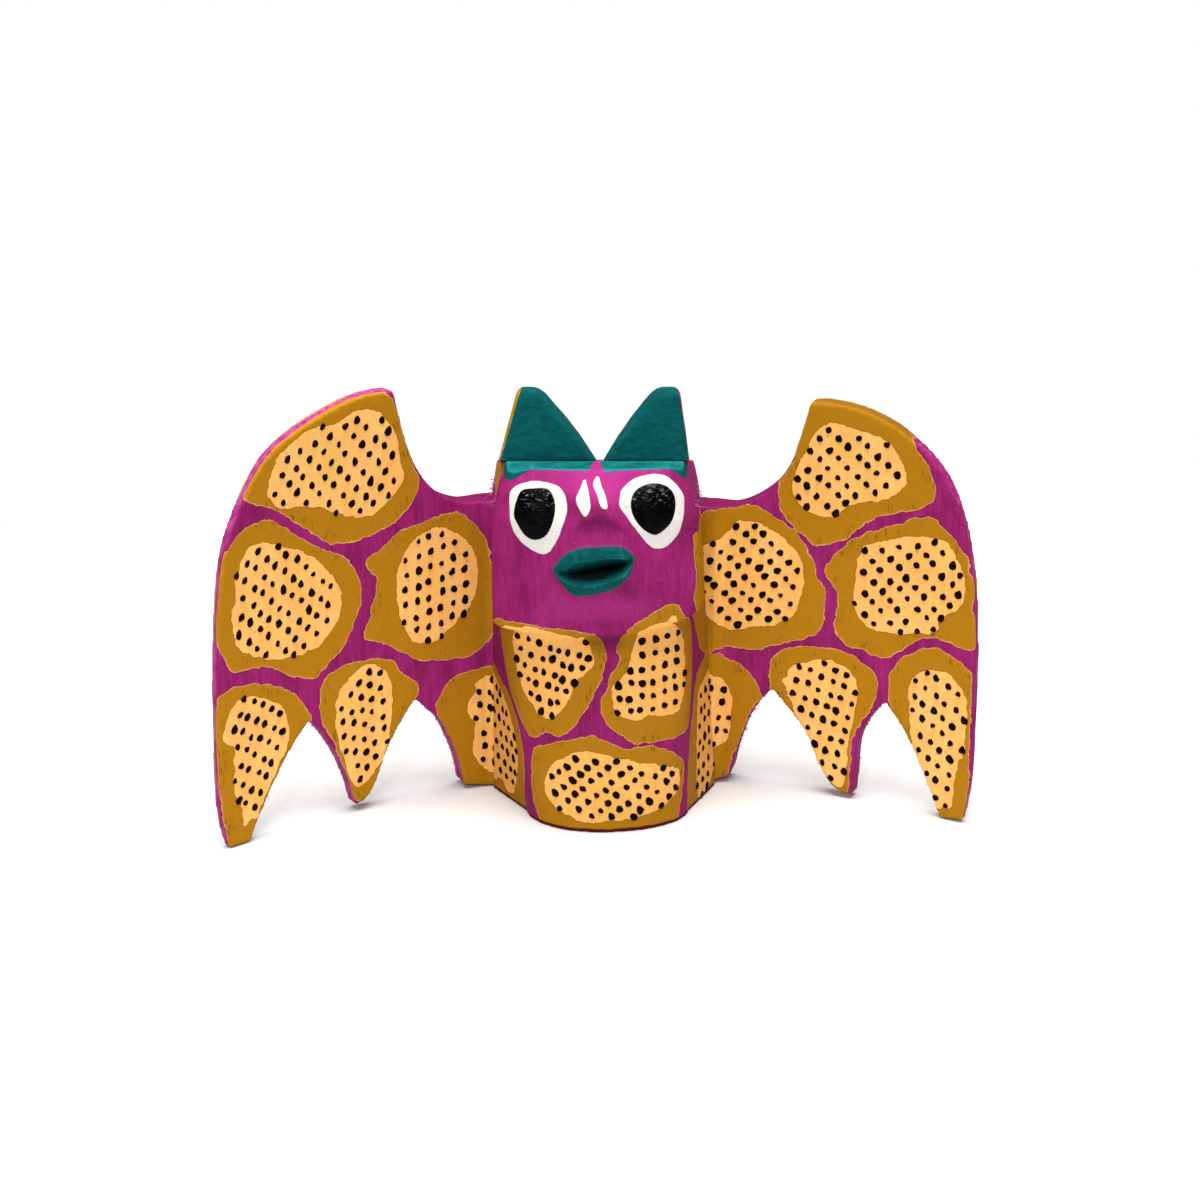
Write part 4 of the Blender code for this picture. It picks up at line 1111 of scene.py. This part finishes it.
def dot_tree():
    drum_sizes = ("Axis X", "Axis Y", "Side", "Facing", "Heading", "Radius", "Start", "Sense")
    row_sizes = ("Along", "Up", "Step along", "Step up", "Row along", "Row up")
    dot_sizes = ("Shake", "Width", "Length", "Tilt")
    sizes = drum_sizes + row_sizes + dot_sizes
    tree = Tree("painted dots", Object=("Carrier",), Material=("Paint",), Float=sizes, Int=("Count", "Seed"))
    given = tree.given

    grid = tree.add("GeometryNodeMeshGrid", {"Vertices X": given("Count"), "Vertices Y": given("Count")})
    place = tree.add("GeometryNodeInputPosition").outputs[0]
    index = tree.add("GeometryNodeInputIndex").outputs[0]
    half = tree.calc("FLOOR", tree.times(given("Count"), 0.5))
    step = tree.calc("SUBTRACT", tree.calc("MODULO", index, given("Count")), half)
    row = tree.calc("SUBTRACT", tree.calc("FLOOR", tree.calc("DIVIDE", index, given("Count"))), half)
    laid = []
    directions = (("Along", "Step along", "Row along"), ("Up", "Step up", "Row up"))
    for i, (start, by_step, by_row) in enumerate(directions):
        shake = tree.times(tree.random(-1, 1, i), given("Shake"))
        reached = tree.times_plus(step, given(by_step), tree.plus(given(start), shake))
        laid.append(tree.times_plus(row, given(by_row), reached))
    spread = tree.moved(grid.outputs["Mesh"], Position=tree.join(*laid, 0))

    along, up, _ = tree.parts(place)
    angle = tree.plus(given("Heading"), tree.calc("DIVIDE", along, given("Radius")))
    sideways = tree.times(tree.calc("SINE", angle), given("Side"))
    backwards = tree.times(tree.calc("COSINE", angle), given("Facing"))
    direction = tree.join(sideways, backwards, 0)
    axis = tree.join(given("Axis X"), given("Axis Y"), up)
    start = tree.vector("MULTIPLY_ADD", direction, tree.join(given("Start"), given("Start"), 0), axis)
    heading = tree.vector("MULTIPLY", direction, tree.join(given("Sense"), given("Sense"), 0))
    carrier = tree.add("GeometryNodeObjectInfo", {"Object": given("Carrier")})
    heart = tree.add("GeometryNodeInputNamedAttribute", {"Name": "heart"}, data_type="FLOAT")
    ray = tree.add(
        "GeometryNodeRaycast",
        {
            "Target Geometry": carrier.outputs["Geometry"],
            "Attribute": heart.outputs[0],
            "Source Position": start,
            "Ray Direction": heading,
            "Ray Length": 0.2,
        },
        data_type="FLOAT",
    )
    caught = tree.add("GeometryNodeCaptureAttribute", {"Geometry": spread})
    for kind, found, name in (
        ("VECTOR", "Hit Position", "Skin point"),
        ("VECTOR", "Hit Normal", "Skin normal"),
        ("FLOAT", "Attribute", "Paint distance"),
        ("BOOLEAN", "Is Hit", "Hit"),
    ):
        caught.capture_items.new(kind, name)
        tree.graph.links.new(ray.outputs[found], caught.inputs[name])
    slack = tree.random(*SLACK_MM, 5)
    too_far = tree.plus(caught.outputs["Paint distance"], slack)
    missed = tree.calc("SUBTRACT", 1, caught.outputs["Hit"])
    drop = tree.calc("MAXIMUM", tree.calc("GREATER_THAN", too_far, 0), missed)
    lean = tree.parts(caught.outputs["Skin normal"])[2]
    drop = tree.calc("MAXIMUM", drop, tree.calc("LESS_THAN", lean, OVERHANG))
    kept = tree.add("GeometryNodeDeleteGeometry", {"Geometry": caught.outputs["Geometry"], "Selection": drop})
    on_skin = tree.moved(kept.outputs[0], Position=caught.outputs["Skin point"])

    drop_shape = tree.add("GeometryNodeMeshUVSphere", {"Segments": 10, "Rings": 6, "Radius": 0.5})
    x, y, z = tree.parts(place)
    taper = tree.times_plus(y, -DOT_TAPER, 1.0)
    drop_shape = tree.moved(drop_shape.outputs["Mesh"], Position=tree.join(tree.times(x, taper), y, z))
    # The dome's top is turned away from the skin, then its length upright, and then it is tilted.
    align, up_axis = "FunctionNodeAlignRotationToVector", (0, 0, 1)
    facing = tree.add(align, {"Vector": caught.outputs["Skin normal"]}, axis="Z", pivot_axis="AUTO")
    values = {"Rotation": facing.outputs[0], "Vector": up_axis}
    upright = tree.add(align, values, axis="Y", pivot_axis="Z")
    tilt = tree.plus(given("Tilt"), tree.random(-TILT_SPREAD, TILT_SPREAD, 6))
    turn = tree.add("FunctionNodeAxisAngleToRotation", {"Axis": up_axis, "Angle": tilt})
    turned = tree.rotated(upright.outputs[0], turn.outputs[0])
    touch = tree.random(*DOT_SPREAD, 7)
    press = tree.random(*PRESS_SPREAD, 8)
    size = tree.join(
        tree.times(given("Width"), touch),
        tree.times(given("Length"), tree.times(touch, press)),
        tree.times(given("Width"), DOME_HEIGHT),
    )
    real = tree.placed(on_skin, drop_shape, turned, size)
    lumps = tree.add("ShaderNodeTexNoise", {"Scale": 1 / (LUMP_SPACING_MM * MM), "Detail": 1.0})
    shift = tree.vector("SUBTRACT", lumps.outputs["Color"], (0.5, 0.5, 0.5))
    shift = tree.vector("MULTIPLY", shift, (LUMP_MM * MM,) * 3)
    lumpy = tree.moved(real, Offset=shift)
    smooth = tree.add("GeometryNodeSetShadeSmooth", {"Geometry": lumpy})
    tree.end(smooth.outputs[0])
    return tree


dots_tree = dot_tree()
print("the dot tree has", len(dots_tree.graph.nodes), "nodes")

# %% [markdown]
# ## Dots on each patch
# Each heart of cream has rows of its own, turned as the hand turned. The widths and the spacing are those
# of a cocktail stick dipped once for each dot.

# %% Dots on each patch
# For each patch: a dot of its own, the step to the next dot, the step to the next row, and the lean of a dot.
ROWS = {
    "left": {
        "top": ((22.9, 56.6), (1.30, 1.51), (-2.37, 0.84), -18),
        "outer": ((32.8, 36.6), (-1.42, -1.29), (-1.89, 1.35), -19),
        "inner": ((8.0, 35.3), (-1.98, 0.43), (-0.08, 2.34), -15),
        "outer tooth": ((39.2, 15.7), (1.50, 0.93), (-1.09, 2.09), -26),
        "inner tooth": ((21.8, 16.1), (1.79, 0.61), (0.18, 2.28), -28),
        "root": ((0.7, 13.4), (1.7, 0.3), (-0.3, 2.2), 10),
    },
    "right": {
        "top": ((19.7, 53.0), (-1.49, 1.20), (1.53, 1.66), -21),
        "inner": ((6.1, 35.8), (-1.27, 1.26), (1.72, 1.41), -52),
        "outer": ((29.7, 37.1), (-1.46, 1.30), (1.32, 1.98), -26),
        "inner tooth": ((16.2, 17.4), (-1.73, 0.60), (0.47, 2.13), 14),
        "outer tooth": ((36.5, 16.1), (-1.68, 0.92), (1.86, 1.62), 19),
        "root": ((0.7, 13.4), (1.7, -0.3), (0.3, 2.2), -10),
    },
    "front": {
        "left chest": ((-10.0, 27.0), (-1.67, 0.33), (-0.42, 2.22), -4),
        "right chest": ((9.4, 25.6), (2.02, 0.08), (0.09, 2.15), 21),
        "belly": ((2.2, 8.1), (1.46, 1.13), (-0.64, 2.27), 38),
        "left flank": ((-25.0, 12.9), (-2.03, 0.25), (-0.36, 2.31), 14),
        "right flank": ((25.0, 10.0), (2.03, 0.25), (0.36, 2.31), -14),
    },
    "back": {
        "nape": ((0.0, 41.0), (1.9, 0.7), (-0.7, 2.1), 10),
        "left loin": ((-7.4, 22.0), (-1.8, 0.7), (0.6, 2.2), -12),
        "right loin": ((7.8, 21.5), (1.7, 1.0), (-0.9, 2.0), 20),
        "rump": ((0.0, 5.5), (2.0, 0.3), (-0.3, 2.0), 0),
    },
}  # fmt: skip
SHAKE_MM, DOT_WIDTH_MM, DOT_LENGTH_MM, DOTS_ACROSS = 0.26, 1.0, 1.14, 22


def joined(name, things):
    """One object from several, with the faces and the materials of them all."""
    bm = bmesh.new()
    for thing in things:
        bm.from_mesh(thing.data)
    mesh = bpy.data.meshes.new(name)
    bm.to_mesh(mesh)
    bm.free()
    for material in things[0].data.materials:
        mesh.materials.append(material)
    for thing in things:
        bpy.data.objects.remove(thing)
    return keep(name, mesh)


def dotted(name, carrier, side, seed, width, length, **drum):
    patches = []
    for i, (patch, (start, step, row, lean)) in enumerate(ROWS[side].items()):
        store(carrier, "heart", hearts[side][patch])
        lengths = zip(("Along", "Up", "Step along", "Step up", "Row along", "Row up"), (*start, *step, *row))
        lengths = {**dict(lengths), "Shake": SHAKE_MM, "Width": width, "Length": length}
        numbers = {asked: value * MM for asked, value in lengths.items()}
        numbers |= {"Count": DOTS_ACROSS, "Seed": seed + 20 * i, "Tilt": math.radians(lean)}
        patches.append(dots_tree.run(f"{name}_{i}", Carrier=carrier, Paint=dark_paint, **numbers, **drum))
        carrier.data.attributes.remove(carrier.data.attributes["heart"])
    made = joined(name, patches)
    print(f"{name}: {len(made.data.polygons) // 60} dots")
    return made


def wing_drum(hand, front):
    shape = WING_SHAPE[hand]
    return {
        "Axis X": shape["axis"][0] * MM,
        "Axis Y": shape["axis"][1] * MM,
        "Side": float(OUTWARD[hand]),
        "Facing": 1.0,
        "Heading": shape["heading"],
        "Radius": shape["radius"] * MM,
        "Start": (shape["radius"] + (-30 if front else 30)) * MM,
        "Sense": 1.0 if front else -1.0,
    }


all_dots = {}
for hand, seed, width, length in (("left", 11, 0.92, 1.05), ("right", 300, 1.02, 0.98)):
    for face, front in (("front", True), ("back", False)):
        all_dots[hand, face] = dotted(
            f"{hand}_wing_{face}_dots", wings[hand], hand, seed + (0 if front else 150),
            DOT_WIDTH_MM * width, DOT_LENGTH_MM * length, **wing_drum(hand, front),
        )  # fmt: skip
drum = {"Axis X": 0.0, "Axis Y": DRUM_AXIS_Y_MM * MM, "Side": 1.0, "Facing": -1.0, "Heading": 0.0,
        "Radius": DRUM_MM * MM, "Start": 0.04, "Sense": -1.0}  # fmt: skip
dot_size = (DOT_WIDTH_MM, DOT_LENGTH_MM)
all_dots["body", "front"] = dotted("body_front_dots", body, "front", 700, *dot_size, **drum)
# The back is nearly flat: a drum of a metre's radius, whose axis is far in front, stands in for it.
flat_drum = {**drum, "Axis Y": -1.0, "Facing": 1.0, "Radius": 1.0145, "Start": 1.06}
all_dots["body", "back"] = dotted("body_back_dots", body, "back", 900, *dot_size, **flat_drum)

# %% [markdown]
# ## Torn fibres
# Copal is soft, and the knife tears it where it can't finish a cut: in the corners above the shoulders
# and along the walls of the notches. A second tree scatters points on the skin wherever the attribute
# called torn says so, and stands a small bent hair of wood on each.


# %% Tree for the fibres
FIBRE_TAPER, FIBRE_BEND = 0.15, 0.6
FIBRE_SWAY = (1.2, 1.2, 3.1)  # radians to either side
FIBRE_SPREAD = (0.35, 1.2)  # of a fibre's size


def fibre_tree():
    sizes = ("Density", "Length", "Thickness")
    tree = Tree("torn fibres", Object=("Carrier",), Material=("Paint",), Float=sizes, Int=("Seed",))
    given = tree.given
    carrier = tree.add("GeometryNodeObjectInfo", {"Object": given("Carrier")})
    torn = tree.add("GeometryNodeInputNamedAttribute", {"Name": "torn"}, data_type="FLOAT")
    density = tree.times(torn.outputs[0], given("Density"))
    values = {"Mesh": carrier.outputs["Geometry"], "Density": density, "Seed": given("Seed")}
    points = tree.add("GeometryNodeDistributePointsOnFaces", values, distribute_method="RANDOM")
    values = {"Vertices": 5, "Side Segments": 4, "Radius Bottom": 1.0, "Radius Top": FIBRE_TAPER, "Depth": 1}
    hair = tree.add("GeometryNodeMeshCone", values)
    x, y, z = tree.parts(tree.add("GeometryNodeInputPosition").outputs[0])
    bend = tree.times(tree.calc("POWER", z, 2.0), given("Length"))
    slim_x, slim_y = (tree.times(part, given("Thickness")) for part in (x, y))
    tall = tree.times(z, given("Length"))
    bent = tree.join(tree.times_plus(bend, FIBRE_BEND, slim_x), slim_y, tall)
    hair = tree.moved(hair.outputs["Mesh"], Position=bent)
    values = {0: tuple(-angle for angle in FIBRE_SWAY), 1: FIBRE_SWAY, "Seed": given("Seed")}
    sway = tree.add("FunctionNodeRandomValue", values, data_type="FLOAT_VECTOR")
    sway = tree.add("FunctionNodeEulerToRotation", {0: sway.outputs[0]})
    turned = tree.rotated(points.outputs["Rotation"], sway.outputs[0])
    size = tree.random(*FIBRE_SPREAD, 1)
    tree.end(tree.placed(points.outputs["Points"], hair, turned, tree.join(size, size, size)))
    return tree


fibres_tree = fibre_tree()
print("the fibre tree has", len(fibres_tree.graph.nodes), "nodes")


# %% Fibre paint and where the wood tore
TORN_CORNERS = [  # the middle of each corner, and how far round it the wood is torn
    ((-16.1, 3.5, 49.4), 2.0),
    ((-16.0, -5.0, 49.6), 1.6),
    ((15.0, 3.5, 49.2), 2.0),
    ((14.7, -5.0, 49.4), 1.7),
]
NOTCH_FOOT_MM, NOTCH_TOP_MM = 3, 24  # the walls of the notches lie between these heights
WHOLE_TIP_MM = 4  # from the wing's outer edge, which isn't torn
FIBRE_THICKNESS_MM, FIBRE_SEED = 0.06, 5
TORN_WEAR = 2.4  # how much more worn the paint is there


def fibre_paint():
    paint = Paint("torn_fibre")
    tone = paint.grain(0.4)
    colour = paint.mix(paint.ramp(tone, 0.45, 0.62), rgb(122, 26, 82), rgb(206, 124, 176))
    paint.shader.inputs["Specular IOR Level"].default_value = 0.1
    return paint.finish(colour, 0.8, tone, 0.02)


def torn_round(points, centre, radius):
    return ease(2 - 2 * np.linalg.norm(points - centre, axis=1) / radius)


def torn_in_notches(hand):
    points = points_of(wings[hand].data)
    along, _, up = flattened(hand, points)
    edge = across_faces(hand, points, normals_of(wings[hand].data))
    torn = rise(edge, 0.6, 0.3) * fall(up, NOTCH_TOP_MM, 2) * rise(up, NOTCH_FOOT_MM, 3)
    return torn * (along < WING_SHAPE[hand]["reach"] - WHOLE_TIP_MM)


def fibres(name, carrier, torn, per_square_mm, length_mm):
    store(carrier, "torn", torn)
    numbers = {
        "Density": per_square_mm / MM**2,
        "Length": length_mm * MM,
        "Thickness": FIBRE_THICKNESS_MM * MM,
        "Seed": FIBRE_SEED,
    }
    made = fibres_tree.run(name, Carrier=carrier, Paint=pale_fibre, **numbers)
    carrier.data.attributes.remove(carrier.data.attributes["torn"])
    print(f"{made.name}: {len(made.data.polygons)} faces")
    return made


# %% Fibres in the corners and the notches
pale_fibre = fibre_paint()
skin = points_of(body.data)
torn = np.max([torn_round(skin, centre, radius) for centre, radius in TORN_CORNERS], 0)
all_fibres = [fibres("body_fibres", body, torn, 6.0, 1.1)]
for hand in OUTWARD:
    all_fibres.append(fibres(hand + "_wing_fibres", wings[hand], torn_in_notches(hand), 3.0, 0.55))
worn = np.empty(len(skin))
body.data.attributes["worn"].data.foreach_get("value", worn)
body.data.attributes["worn"].data.foreach_set("value", worn + TORN_WEAR * torn)

# %% [markdown]
# ## Riding on the figure
# Nothing on the bat moves, so every piece made here rides on its one body. The carved skins stand for the
# plain solids, and the pegs stay as they are inside, in bare wood.


# %% Bare wood for the pegs
def bare_wood():
    paint = Paint("bare_wood_grain")
    rings = paint.grain(0.5, (1, 1, 0.08), detail=4.0)
    colour = paint.mix(paint.ramp(rings, 0.35, 0.65), rgb(206, 170, 122), rgb(168, 124, 78))
    return paint.finish(colour, 0.7, rings, 0.05)


peg_wood = bare_wood()
for node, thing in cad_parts.items():
    if node.endswith("_peg"):
        thing.data.materials.clear()
        thing.data.materials.append(peg_wood)

# %% Riding on the figure
body.name = "carved_body"
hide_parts("head_and_body")
for hand in OUTWARD:
    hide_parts(hand + "_wing")
    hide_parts(hand + "_ear")
for thing in (body, *wings.values(), *ears.values(), *all_dots.values(), *all_fibres, *pupils):
    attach(thing, "root")

# %% Size, and the end
shown_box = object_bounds()
for name, (low, high) in (("solids", solid_box), ("shown", shown_box)):
    print(name, [round(c / MM, 2) for c in low], [round(c / MM, 2) for c in high])
